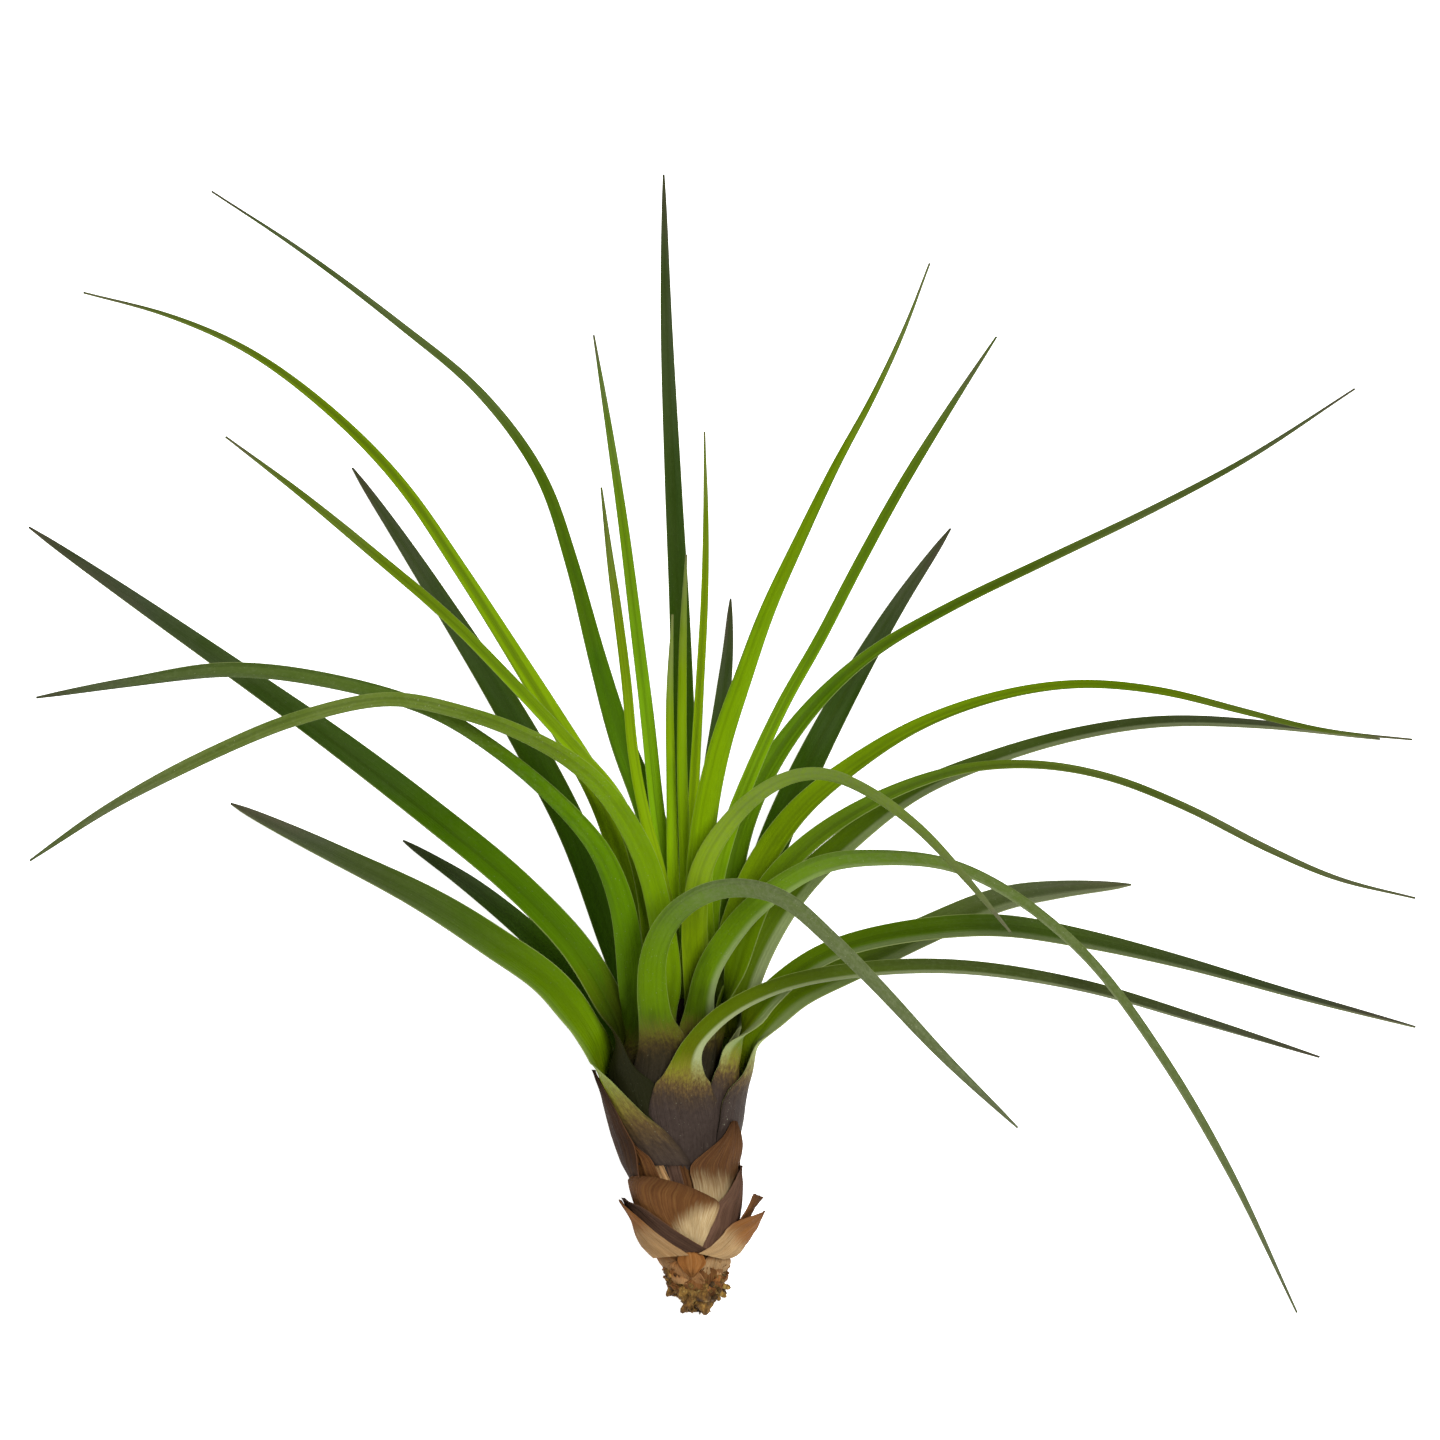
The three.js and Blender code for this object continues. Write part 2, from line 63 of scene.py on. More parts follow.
# Radius and height that the leaf bases of each ring pass through, the oldest ring outside.
RINGS = [[(10, 27.5), (12, 34), (13.1, 40)], [(10.9, 33.5), (11.7, 40)]]
for ring_radius in (10.2, 8.7, 7.2, 5.7, 4.2, 2.7):
    ring_foot = cone_height(ring_radius - SHEATH_THICKNESS / 2) + 0.9
    RINGS.append([(ring_radius, ring_foot), (ring_radius + 0.3, ring_foot + 5)])

# Every leaf: its look, the ring and azimuth of its sheath (0 to the right, 90 to the front), the side
# that its outer face turns to, the roll of its blade, its widths at the sheath and at a fifth, a half
# and four fifths of its length, its tone, and the points that its middle line passes through. The tone is
# the height at which its dark sheath ends, over how many millimetres it fades into the blade, how light
# the blade is (partly its own tone, partly painted light and shade for how lit it sits among the others),
# how yellow (0 is the skin's own tone), and how grey with scales its middle is.
LEAVES = [
    ("right_10", "scurfy", 0, 80, 1, 30, (13, 3.5, 2.5, 1.9), (42, 6.5, -0.4, 0.4, 0.1),
     ((1, 47.75, 16), (6.75, 54.25, 21), (17, 59.5, 25), (31.25, 62.25, 27), (49, 62.75, 27),
      (70.5, 59.5, 26), (92, 53.25, 24), (113.5, 46.5, 20))),
    ("left_8", "dark", 0, 163, -1, 35, (13, 5, 5.2, 3.4), (36, 13, 0.2, 0.1, 0),
     ((-16.75, 49.25, 3), (-23.75, 59, -2), (-34.25, 66.5, -8), (-46.75, 74.25, -17),
      (-65.25, 83.25, -30), (-83, 91.5, -44))),
    ("right_8", "dark", 0, 345, -1, 35, (10, 4.5, 5.4, 3.8), (43.5, 6, 0.15, 0.3, 0.1),
     ((12, 47.75, -3), (18, 56, -6), (30.5, 62.5, -11), (44.25, 69, -18), (57.25, 74.25, -26),
      (68.25, 76, -32), (81.25, 76.75, -38.5))),
    ("left_9", "dark", 0, 238, -1, 25, (9, 5.6, 4.4, 3.1), (46, 6, 0.4, 0, 0),
     ((-10.75, 48.75, -15), (-18.25, 58.75, -19), (-28.5, 68.25, -26), (-39.5, 77, -34),
      (-51.5, 84.75, -42))),
    ("right_9", "fresh", 1, 24, -1, 40, (8, 4, 3.6, 1.9), (44.5, 6, -0.25, 0.1, 0),
     ((8.75, 47.75, 8), (10.25, 50.5, 9), (12.25, 54, 10), (16.5, 58.75, 11), (22.5, 63.5, 13),
      (29, 66.5, 15), (42, 69.25, 17), (56.5, 70, 16), (70.75, 67.75, 14), (88.5, 63.5, 10),
      (110.25, 57.25, 5), (131.5, 51.5, 0))),
    ("left_5", "fresh", 1, 150, -1, 30, (11, 5, 4.9, 3), (51, 9, -0.1, -0.2, 0),
     ((-11.5, 49.75, 4), (-18.25, 64, -1), (-29.75, 76.5, -6), (-46.25, 90, -16), (-64.5, 103.75, -26),
      (-81.25, 115.5, -33), (-101.25, 129.25, -40), (-120, 142, -46))),
    ("left_4", "dark", 1, 228, -1, 15, (10, 5.2, 5.5, 3.4), (46, 6, 0, 0, 0),
     ((-9.25, 54.25, -12), (-14, 69.5, -21), (-20, 85.75, -32), (-26.5, 98.5, -40), (-34.5, 112.25, -49),
      (-43.25, 126, -57.5), (-52.75, 140.5, -67), (-61.5, 153.25, -74))),
    ("right_1", "dark", 1, 308, -1, 15, (9, 5.6, 5.5, 3.5), (46, 6, 0.05, 0, 0),
     ((7.75, 52.5, -13), (11, 68.75, -23), (16.25, 85, -34), (23, 99.75, -43), (30.75, 114.25, -51.5),
      (39, 128, -61), (48.75, 142, -69))),
    ("right_11", "scurfy", 2, 104, 1, 15, (10, 5.3, 3.1, 2.2), (49, 8, -0.35, 0, 0.8),
     ((-5.25, 53, 17), (-5.75, 63.75, 22), (-3, 70.75, 27), (2.75, 75.5, 34), (9.75, 77, 41),
      (17.75, 75, 50), (25.75, 68.25, 57), (34.5, 59.5, 63), (45.75, 47.5, 70), (58.5, 35.25, 77))),
    ("right_4", "fresh", 2, 5, -1, 25, (10, 5.2, 3.1, 1.9), (48, 6, -0.2, 0.2, 0),
     ((8.75, 51, 1), (12, 63, 1), (19.75, 76, -2), (29.75, 85.5, -7), (41, 93.75, -12),
      (53.75, 99.25, -17), (69.75, 104, -22), (86.25, 106.5, -27), (104.5, 106, -31),
      (126.5, 103.25, -35))),
    ("centre_6", "dark", 2, 287, -1, 5, (7, 4, 3.6, 2.7), (47, 5, 0.1, 0, 0),
     ((3, 56, -13), (3.25, 74, -22), (3.75, 86.75, -30), (5, 98.5, -38), (6.75, 110.5, -46),
      (7.75, 119.5, -53), (8.25, 129, -60))),
    ("left_6", "scurfy", 2, 176, 1, 35, (8, 3.9, 2.2, 2.8), (48, 6, -0.35, -0.2, 0),
     ((-9.5, 51, 3), (-9.75, 61.75, 6), (-11.25, 73.5, 10), (-15.25, 83.5, 14), (-22.25, 91.75, 18),
      (-32.75, 100.75, 22), (-45.25, 108.5, 26), (-63.25, 113.75, 30), (-81, 115.75, 33),
      (-98.75, 113.5, 36), (-115.25, 110.75, 38))),
    ("right_7", "scurfy", 3, 60, 1, 15, (9, 4.2, 1.9, 1.5), (49, 5, -0.3, 0, 0.5),
     ((2.5, 53, 10), (3.75, 61, 15), (7.75, 68, 20), (13, 74, 24), (24.25, 81, 29), (36.5, 82.25, 33),
      (47.25, 81, 36), (58.25, 75.75, 39), (71.5, 64.75, 42), (84.75, 47, 45), (96.75, 26.5, 47),
      (108.5, 1.75, 48))),
    ("left_2", "bright", 3, 182, -1, 25, (8, 4.6, 2.6, 1.3), (48, 6, -0.05, 0.1, 0),
     ((-7.25, 56.25, 1.5), (-8.25, 69, 2), (-11, 81.5, 1.5), (-15.25, 93, 0), (-23, 106.25, -2),
      (-31.25, 119.5, -4), (-40.25, 133.5, -5), (-51.5, 149.75, -6), (-64, 162.5, -8),
      (-78.5, 173.25, -9), (-93, 179.75, -11), (-108.75, 184, -12))),
    ("centre_3", "dark", 3, 262, -1, 0, (8, 5.2, 3.8, 2.4), (48, 6, -0.05, 0, 0),
     ((0.25, 56.25, -11), (0.25, 77.75, -17), (-0.25, 101.25, -23), (-1, 125, -30), (-2.25, 150.5, -37),
      (-3.5, 179.75, -43), (-4, 206.5, -48))),
    ("right_2", "fresh", 3, 328, -1, 25, (8, 4.8, 1.9, 1.3), (48, 6, -0.05, 0, 0),
     ((6, 59.75, -6), (7.25, 74.25, -9), (9.75, 86.75, -11), (15, 98.25, -13), (23.5, 109.75, -15),
      (33.5, 118.75, -17), (47.5, 127, -19), (66, 136, -22), (84.25, 144.75, -25), (102.5, 154.5, -28),
      (121.75, 167, -31))),
    ("right_5", "fresh", 4, 15, -1, 35, (7, 3.7, 1.7, 1.3), (49, 6, -0.1, 0.2, 0.1),
     ((7.75, 56.5, 4), (10.25, 66.25, 6), (14.5, 76.25, 8), (20.5, 83.25, 9), (29.25, 89.75, 9),
      (40.5, 95.25, 9), (51.25, 98.25, 8), (63.75, 98.75, 8), (76.25, 96.5, 7), (90.25, 91, 6),
      (104.5, 83.75, 5), (117.25, 78.25, 5), (131.25, 74.75, 5))),
    ("left_3", "bright", 4, 160, -1, 20, (6, 3.9, 2.2, 1.6), (49, 6, 0, 0.1, 0),
     ((-5.5, 58.25, 3.5), (-6, 70.75, 7), (-8, 81.5, 9.5), (-12.75, 93, 12), (-19.75, 101.5, 13),
      (-29.5, 112, 13), (-42, 124.75, 14), (-54.5, 135.5, 14), (-68.75, 147.25, 15),
      (-82.25, 157.5, 16))),
    ("left_1", "fresh", 4, 228, -1, 20, (7, 5.2, 2.3, 1.2), (49, 6, -0.1, -0.2, 0),
     ((-3.25, 59.75, -7), (-3.25, 74.25, -10.5), (-6, 88.75, -13), (-11.5, 103, -15), (-16, 118.25, -18),
      (-20.5, 135, -21), (-26.25, 151.25, -24), (-37.25, 166.25, -27), (-51.75, 178.5, -29),
      (-70, 192.25, -32), (-86.25, 203, -34))),
    ("right_6", "bright", 5, 62, 1, 10, (6, 4.5, 2.3, 1.7), (51, 5, -0.05, 0.2, 0.5),
     ((2.25, 60, 8.5), (1.75, 71, 13), (3.25, 80.75, 17), (9.25, 90, 21), (16.75, 95.75, 27),
      (24, 97.25, 35), (31.5, 94.75, 45), (40.75, 88.25, 56), (49.5, 79, 67), (57.25, 69.5, 78))),
    ("right_3", "bright", 5, 356, -1, 25, (6, 4.6, 2.1, 1.2), (51, 5, -0.3, 0.1, 0),
     ((6.5, 60, -0.5), (9.25, 70.75, -0.5), (13, 80, 0.5), (20, 90.25, 3), (30.5, 99, 5),
      (42.5, 106.25, 8), (56.75, 111.25, 10), (70.75, 113.25, 12), (85.25, 112, 12), (99.5, 108.5, 12),
      (114, 105, 11), (130.5, 103.25, 10))),
    ("centre_2", "fresh", 5, 200, -1, 5, (5, 2.9, 2.4, 1.6), (51, 5, -0.05, -0.2, 0),
     ((-3, 63.5, -2), (-3.5, 78, -3), (-5.25, 92.25, -4), (-6.75, 106.75, -5), (-8.75, 123, -6),
      (-11.25, 142.75, -7), (-14, 161, -8), (-16.5, 176.25, -9))),
    ("left_7", "scurfy", 5, 126, 1, 30, (5, 3.8, 2.4, 2.4), (51, 5, -0.1, 0.1, 0.1),
     ((-2.75, 58.25, 7), (-4.25, 71, 12), (-7, 81.75, 17), (-12.75, 92.25, 22.5), (-19.5, 99, 27),
      (-29.25, 104.5, 31), (-40, 108.25, 36), (-52.25, 110.5, 41), (-68, 107.25, 47), (-83.25, 101, 53),
      (-101.25, 91.5, 60), (-115.25, 82, 65))),
    ("centre_7", "bright", 6, 50, 1, 10, (5, 4.7, 2.9, 1.2), (52, 5, -0.1, 0, 0),
     ((3, 63.5, 5), (2.5, 76.25, 8), (3.5, 88.75, 12), (6.25, 101.75, 18), (10.5, 114.5, 24),
      (14.75, 126.25, 30), (20, 137.75, 36), (26.75, 151.75, 44), (33.25, 163.75, 51), (38.75, 175.5, 57),
      (43.25, 187.25, 62))),
    ("centre_8", "bright", 6, 326, -1, 10, (5, 3.1, 2.2, 1.7), (52, 5, -0.1, -0.1, 0),
     ((4.25, 65.25, -3), (5, 75.25, -4), (7.5, 85.5, -4), (11.75, 96.75, -5), (17.75, 109.75, -6),
      (24.25, 121.25, -6), (31, 134.25, -7), (39.25, 149.25, -8), (47.75, 163, -9), (56.25, 176, -10))),
    ("centre_1", "bright", 6, 160, 1, 5, (4, 2.6, 1.9, 1.6), (52, 5, 0.05, 0.2, 0),
     ((-2.25, 65.25, 2), (-4.25, 78, 3.5), (-7.25, 89.75, 5), (-9.25, 100.5, 6), (-10.5, 113.5, 7),
      (-12, 125.5, 8), (-13.5, 136.25, 8.25), (-15, 148.5, 9))),
    ("centre_5", "fresh", 6, 275, -1, 5, (4, 2.3, 1.7, 1.2), (52, 5, 0.5, 0.2, 0),
     ((0.5, 65.25, -5.5), (1, 79.75, -6), (1.5, 92.25, -6), (2.5, 110.25, -5.5), (3.5, 128.5, -5),
      (3.75, 142.75, -4), (3.5, 158.75, -4))),
    ("centre_4", "bright", 7, 180, 1, 5, (3, 2.2, 1.9, 1.3), (53, 5, 0.4, 0.1, 0),
     ((-2, 69, 0.5), (-2.25, 83.25, 1), (-2.5, 96, 1.5), (-2.75, 110.25, 2), (-2.25, 125.75, 2))),
    ("centre_9", "bright", 7, 60, 1, 5, (3, 2.2, 1.9, 1.4), (53, 5, 0.2, 0.1, 0),
     ((0.5, 69, 3), (0, 83.25, 3.5), (-0.5, 97.75, 4), (-0.5, 112.25, 4), (-0.25, 124.75, 4),
      (0.25, 136.5, 4))),
]

# Leaves whose skin looks like another look's than the one they are grouped with.
SKINS = {"left_8": "deep", "right_8": "deep", "right_9": "deep", "left_5": "deep", "right_4": "deep",
         "right_10": "deep", "centre_2": "bright", "centre_5": "bright"}

# Leaves with a silvery band along the margin that is on the right as the leaf is seen from outside (1)
# or on the left (-1), and how strong it is.
BANDS = {"right_10": 0.75, "right_8": -0.6, "right_4": -0.7, "right_9": -0.5, "right_7": 0.5, "left_8": 0.3}

# How much painted shade darkens a leaf's base, down between the others; the leaves of the inner rings all
# take INNER_SHADE.
SHADES = {"right_10": 0, "left_8": 0, "right_8": 0, "left_9": 0.8, "right_9": 0, "left_5": 0.85,
          "left_4": 0.7, "right_1": 0.6, "right_11": 0.5, "right_4": 0.4, "left_6": 0.7}
INNER_SHADE = 0.6

# How wide a blade is by how far it is above the sheath, where it narrows more than the others.
NECKS = {"right_10": ((4.5, 4.4), (9, 3.2)), "right_11": ((9, 5.6),), "right_9": ((4, 6.6), (10, 5.4)),
         "right_8": ((4, 7.2), (9, 5.3))}

# How far below the top of its sheath a leaf starts to turn its inner face to the front.
EARLY_TURNS = {"left_8": 9, "left_5": 7}

# Sheaths that show: height, azimuth of the left and of the right margin, and distance from the axis.
SHEATHS = {
    "right_10": ((24, 122, 30, 8), (27, 120, 29, 8.9), (32, 117, 30, 10.3), (34.5, 115, 37, 11),
                 (36.6, 113, 44, 11.5), (39, 110, 54, 12.1), (41.5, 106, 61, 12.7), (43.5, 100, 66, 13.1)),
    "left_8": ((26.8, 232, 77, 9.5), (28, 231, 80, 9.8), (30, 228, 86, 10.3), (33, 222, 100, 11.1),
               (36, 216, 117, 11.9), (39.5, 210, 134, 12.6), (42, 206, 145, 13.2), (44.5, 204, 160, 14)),
    "right_8": ((24, 55, -60, 8.8), (30, 50, -60, 10.5), (34.5, 48, -58, 12), (38, 47, -54, 12.5),
                (40.5, 41, -48, 13), (42, 31, -42, 13.2), (44, 25, -34, 13.6)),
    "right_9": ((28, 64, 2, 9.6), (36, 62, 10, 11.3), (40, 59, 18, 11.9), (43.5, 56, 24, 12.3),
                (45.2, 53, 26, 12.5)),
    "left_5": ((28, 195, 96, 9.6), (36, 198, 99, 11.3), (40.5, 196, 105, 11.9), (42, 192, 111, 12.1),
               (43.5, 186, 122, 12.3), (46, 178, 132, 12.8)),
    "right_7": ((38, 112, 38, 8), (44, 108, 42, 8.9), (48, 100, 46, 9.3), (50.5, 95, 51, 9.8)),
    "right_11": ((32, 152, 56, 9), (40, 146, 64, 10.4), (45, 134, 73, 11.2), (48, 127, 80, 12)),
}

# Middle and distance from the axis of the stem's outer skin by height, where the axis leans off the
# leaves' own.
STEM_HEIGHTS = (0, 1.5, 3, 5, 9, 13, 18, 23.5, 27, 32, 38, 42, 46, 52, 57)
STEM_MIDDLES = (2.2, 2.2, 2.2, 2.1, 1.8, 1.1, 0.4, -0.1, -0.9, -1.6, -1.9, -1.8, -1.2, -0.3, 0)
CORE_RADII = (1.5, 2.3, 3.5, 4.5, 5.3, 6.3, 7.2, 7.8, 8.2, 8.6, 8.8, 8.6, 6.7, 3.5, 0.9)

SHEATH_HALF_ANGLE = 0.75
RAGGED = 0.06
FLOOR_CLEARANCE = 0.0002
FLOOR_HALF = 3
DRY_LIGHT = 1.18
WORLD_STRENGTH = 0.3
# Each light's place and size in metres, and its power. All are aimed at the middle of the spray.
LIGHTS = {"key_light": ((0.5, -0.6, 1.9), 0.7, 50), "fill_light": ((-1.1, 0.5, 1.4), 1.2, 9)}
LIGHT_AIM = (0, 0, 0.05)

STATIONS = 120
HALF_PROFILE = 8
TIP_WIDTH = 0.35
CHANNEL = 0.55
SETTLE = 14
TURN = 16
TURN_START = 3
NARROWING = 9
BURIED = 6
TIP_KEYS = ((0.9, 0.68), (0.97, 0.36))


def stem_middle(height):
    return np.interp(height, STEM_HEIGHTS, STEM_MIDDLES)


def core_radius(height):
    return np.interp(height, STEM_HEIGHTS, CORE_RADII)


def to_world(points):
    x, y, z = np.asarray(points, float).T
    tilted_y = y * math.cos(LEAN) - z * math.sin(LEAN)
    tilted_z = y * math.sin(LEAN) + z * math.cos(LEAN)
    moved = (x - FOOTPRINT_CENTRE[0], tilted_y - FOOTPRINT_CENTRE[1], tilted_z + ROOT_AXIS_HEIGHT)
    return np.stack(moved, axis=1) * MM


def smoothstep(value, low, high):
    t = np.clip((value - low) / (high - low), 0, 1)
    return t * t * (3 - 2 * t)


def monotone(keys, values, at):
    """Smooth curve through the keys without overshoot."""
    keys = np.asarray(keys, float)
    values = np.asarray(values, float)
    steps = np.diff(keys)
    slopes = np.diff(values) / steps
    tangents = np.zeros_like(values)
    for i in range(1, len(keys) - 1):
        if slopes[i - 1] * slopes[i] > 0:
            before = 2 * steps[i] + steps[i - 1]
            after = steps[i] + 2 * steps[i - 1]
            tangents[i] = (before + after) / (before / slopes[i - 1] + after / slopes[i])
    tangents[0] = slopes[0]
    tangents[-1] = slopes[-1]
    at = np.asarray(at, float)
    index = np.clip(np.searchsorted(keys, at, side="right") - 1, 0, len(steps) - 1)
    step = steps[index]
    t = np.clip((at - keys[index]) / step, 0, 1)
    start = values[index] * (1 + 2 * t) * (1 - t) ** 2 + tangents[index] * step * t * (1 - t) ** 2
    end = values[index + 1] * t * t * (3 - 2 * t) + tangents[index + 1] * step * t * t * (t - 1)
    return start + end


def travel(line):
    """How far along the line each of its points is."""
    return np.concatenate([[0], np.cumsum(np.linalg.norm(np.diff(line, axis=0), axis=1))])


def middle_line(points, count, softness=0.012):
    """Points at equal steps along a centripetal Catmull-Rom curve, its kinks smoothed."""
    given = np.asarray(points, float)
    ends = [2 * given[0] - given[1], *given, 2 * given[-1] - given[-2]]
    dense = []
    for i in range(1, len(ends) - 2):
        p0, p1, p2, p3 = ends[i - 1:i + 3]
        t0 = 0
        t1 = t0 + math.sqrt(np.linalg.norm(p1 - p0))
        t2 = t1 + math.sqrt(np.linalg.norm(p2 - p1))
        t3 = t2 + math.sqrt(np.linalg.norm(p3 - p2))
        t = np.linspace(t1, t2, 60, endpoint=False)[:, None]
        a1 = ((t1 - t) * p0 + (t - t0) * p1) / (t1 - t0)
        a2 = ((t2 - t) * p1 + (t - t1) * p2) / (t2 - t1)
        a3 = ((t3 - t) * p2 + (t - t2) * p3) / (t3 - t2)
        b1 = ((t2 - t) * a1 + (t - t0) * a2) / (t2 - t0)
        b2 = ((t3 - t) * a2 + (t - t1) * a3) / (t3 - t1)
        dense.append(((t2 - t) * b1 + (t - t1) * b2) / (t2 - t1))
    dense = np.vstack(dense + [given[-1:]])
    travelled = travel(dense)
    even = np.linspace(0, travelled[-1], 600)
    line = np.stack([np.interp(even, travelled, dense[:, k]) for k in range(3)], axis=1)
    reach = int(len(line) * softness * 3)
    window = np.exp(-0.5 * (np.arange(-reach, reach + 1) / (len(line) * softness)) ** 2)
    window /= window.sum()
    front = 2 * line[0] - line[reach:0:-1]
    back = 2 * line[-1] - line[-2:-reach - 2:-1]
    padded = np.vstack([front, line, back])
    soft = np.stack([np.convolve(padded[:, k], window, "valid") for k in range(3)], axis=1)
    pick = np.linspace(0, len(soft) - 1, count)
    whole = np.arange(len(soft))
    return np.stack([np.interp(pick, whole, soft[:, k]) for k in range(3)], axis=1)


def unit(vectors):
    return vectors / np.linalg.norm(vectors, axis=-1, keepdims=True)


def make_piece(name, points, faces, attributes, material, node):
    """A mesh object of plant-frame points that stands for a CAD node."""
    world = to_world(points)
    world[:, 2] = np.maximum(world[:, 2], FLOOR_CLEARANCE)
    mesh = bpy.data.meshes.new(name)
    mesh.from_pydata(world.tolist(), [], faces)
    mesh.validate()
    for label, rows in attributes.items():
        layer = mesh.attributes.new(label, "FLOAT_VECTOR", "POINT")
        layer.data.foreach_set("vector", np.asarray(rows, float).ravel())
    mesh.polygons.foreach_set("use_smooth", [True] * len(mesh.polygons))
    piece = bpy.data.objects.new(name, mesh)
    bpy.context.scene.collection.objects.link(piece)
    mesh.materials.append(material)
    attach(piece, "root")
    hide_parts(node)
    return piece


def ring_faces(rows, ring):
    """Quads of a closed tube of rows by ring points, with an n-gon on each end."""
    faces = []
    for k in range(rows - 1):
        for i in range(ring):
            a = k * ring + i
            b = k * ring + (i + 1) % ring
            faces.append((a, a + ring, b + ring, b))
    faces.append(tuple(range(ring)))
    faces.append(tuple(range(rows * ring - 1, (rows - 1) * ring - 1, -1)))
    return faces


def on_stem(height, azimuth, radius):
    around = math.radians(azimuth)
    return (stem_middle(height) + radius * math.cos(around), height, radius * math.sin(around))


def sheath_rows(name, ring, azimuth, width):
    """Height, middle azimuth, half angle in radians and radius of a leaf's sheath, from its foot up."""
    if name in SHEATHS:
        return [(h, (left + right) / 2, math.radians(left - right) / 2, r)
                for h, left, right, r in SHEATHS[name]]
    radius = RINGS[ring][0][0]
    half = max(width / 2 / radius, SHEATH_HALF_ANGLE if ring < 3 else 0)
    rows = [(RINGS[ring][0][1] - BURIED, azimuth, half, radius - 0.4)]
    return rows + [(h, azimuth, half * (1 - 0.12 * k), r) for k, (r, h) in enumerate(RINGS[ring])]


def make_leaf(row, index, materials):
    name, look, ring, azimuth, side, roll, widths, tone, path = row
    rows = sheath_rows(name, ring, azimuth, widths[0])
    line = middle_line([on_stem(h, a, r) for h, a, half, r in rows] + list(path), STATIONS)
    along = unit(np.gradient(line, axis=0))
    s = travel(line)
    u = s / s[-1]
    row_travel = [s[np.argmin(np.linalg.norm(line - on_stem(h, a, r), axis=1))] for h, a, half, r in rows]
    row_travel[0] = 0
    top = row_travel[-1]
    turn_start = top - EARLY_TURNS.get(name, TURN_START)
    turn = smoothstep(s, turn_start, top + min(TURN, 0.3 * (s[-1] - top)))
    level = smoothstep(s, top - TURN_START, top + TURN / 2)[:, None]
    across = unit(along * level + np.array((0, 1, 0)) * (1 - level))

    around = np.radians(np.interp(s, row_travel, [a for h, a, half, r in rows]))
    at_sheath = np.stack([np.cos(around), np.zeros(STATIONS), np.sin(around)], axis=1)
    sway = math.radians(7) * np.sin(u * 9 + index * 1.7) * smoothstep(u, 0.2, 0.5)
    tilt = math.radians(roll) + sway
    at_blade = np.stack([np.zeros(STATIONS), -np.sin(tilt), side * np.cos(tilt)], axis=1)
    outward = at_sheath * (1 - turn[:, None]) + at_blade * turn[:, None]
    outward = unit(outward - across * np.sum(outward * across, axis=1, keepdims=True))
    sideways = np.cross(across, outward)

    sheath_keys = [(t, 2 * r * math.sin(half)) for t, (h, a, half, r) in zip(row_travel, rows)]
    blade_keys = list(zip((0.2, 0.5, 0.8), widths[1:]))
    blade_keys += [(k, widths[3] * share) for k, share in TIP_KEYS] + [(1, TIP_WIDTH)]
    neck_keys = [(top + up, w) for up, w in NECKS.get(name, ((NARROWING, widths[1] * 1.06),))]
    blade_keys = neck_keys + [(k * s[-1], w) for k, w in blade_keys if k * s[-1] > neck_keys[-1][0] + 4]
    width = monotone(*zip(*(sheath_keys + blade_keys)), s)
    width = width * (1 + (1 / math.cos(math.radians(roll)) - 1) * turn)
    bend_keys = [(t, half) for t, (h, a, half, r) in zip(row_travel, rows)]
    bend_keys += [(top + SETTLE, CHANNEL), (s[-1], CHANNEL * 0.8)]
    bends = monotone(*zip(*bend_keys), s)
    thickness = 0.85 - 0.45 * u
    settled = smoothstep(s, top, top + SETTLE)

    dark_end, fade, light, yellow, grey = tone
    dark_travel = s[np.argmax(line[:, 1] > dark_end)]
    radii = width / 2 / np.sin(bends)
    crest = radii * (1 - settled + settled * np.cos(bends))
    spread = np.sin(np.linspace(-1, 1, 2 * HALF_PROFILE + 1) * math.pi / 2)
    points, grain, places = [], [], []
    # The grain's last number keeps the noise of each leaf, and of its two faces, apart from the others'.
    for k in range(STATIONS):
        for face, order in ((1, spread), (-1, spread[::-1])):
            half = thickness[k] / 2 * (0.22 + 0.78 * (1 - np.abs(order) ** 2.5))
            reach = radii[k] + face * half
            angle = order * bends[k]
            offset = sideways[k] * (reach * np.sin(angle))[:, None]
            offset = offset + outward[k] * (reach * np.cos(angle) - crest[k])[:, None]
            points.extend(line[k] + offset)
            for v in order:
                grain.append((v * width[k] / 2, s[k] - dark_travel, index * 7.3 + 40 * (face < 0)))
                places.append((max(0, (s[k] - dark_travel) / (s[-1] - dark_travel)), v, float(face < 0)))
    attributes = {"grain": grain, "place": places, "tone": [(light, grey, yellow)] * len(points),
                  "fade": [(fade, BANDS.get(name, 0), SHADES.get(name, INNER_SHADE))] * len(points)}
    faces = ring_faces(STATIONS, 2 * len(spread))
    make_piece(f"leaf_{name}_blade", points, faces, attributes, materials[SKINS.get(name, look)],
               f"leaf_{name}")


# Materials

def linear(code, light=1):
    """A linear colour with alpha from a six-digit hex code, over the light that falls on it."""
    parts = [int(code[k:k + 2], 16) / 255 for k in (0, 2, 4)]
    whole = [c / 12.92 if c <= 0.04045 else ((c + 0.055) / 1.055) ** 2.4 for c in parts]
    return [min(1, c / light) for c in whole] + [1]


def in_studio(code):
    """A leaf's colour, written as it looks under the studio light."""
    return linear(code, STUDIO_LIGHT)


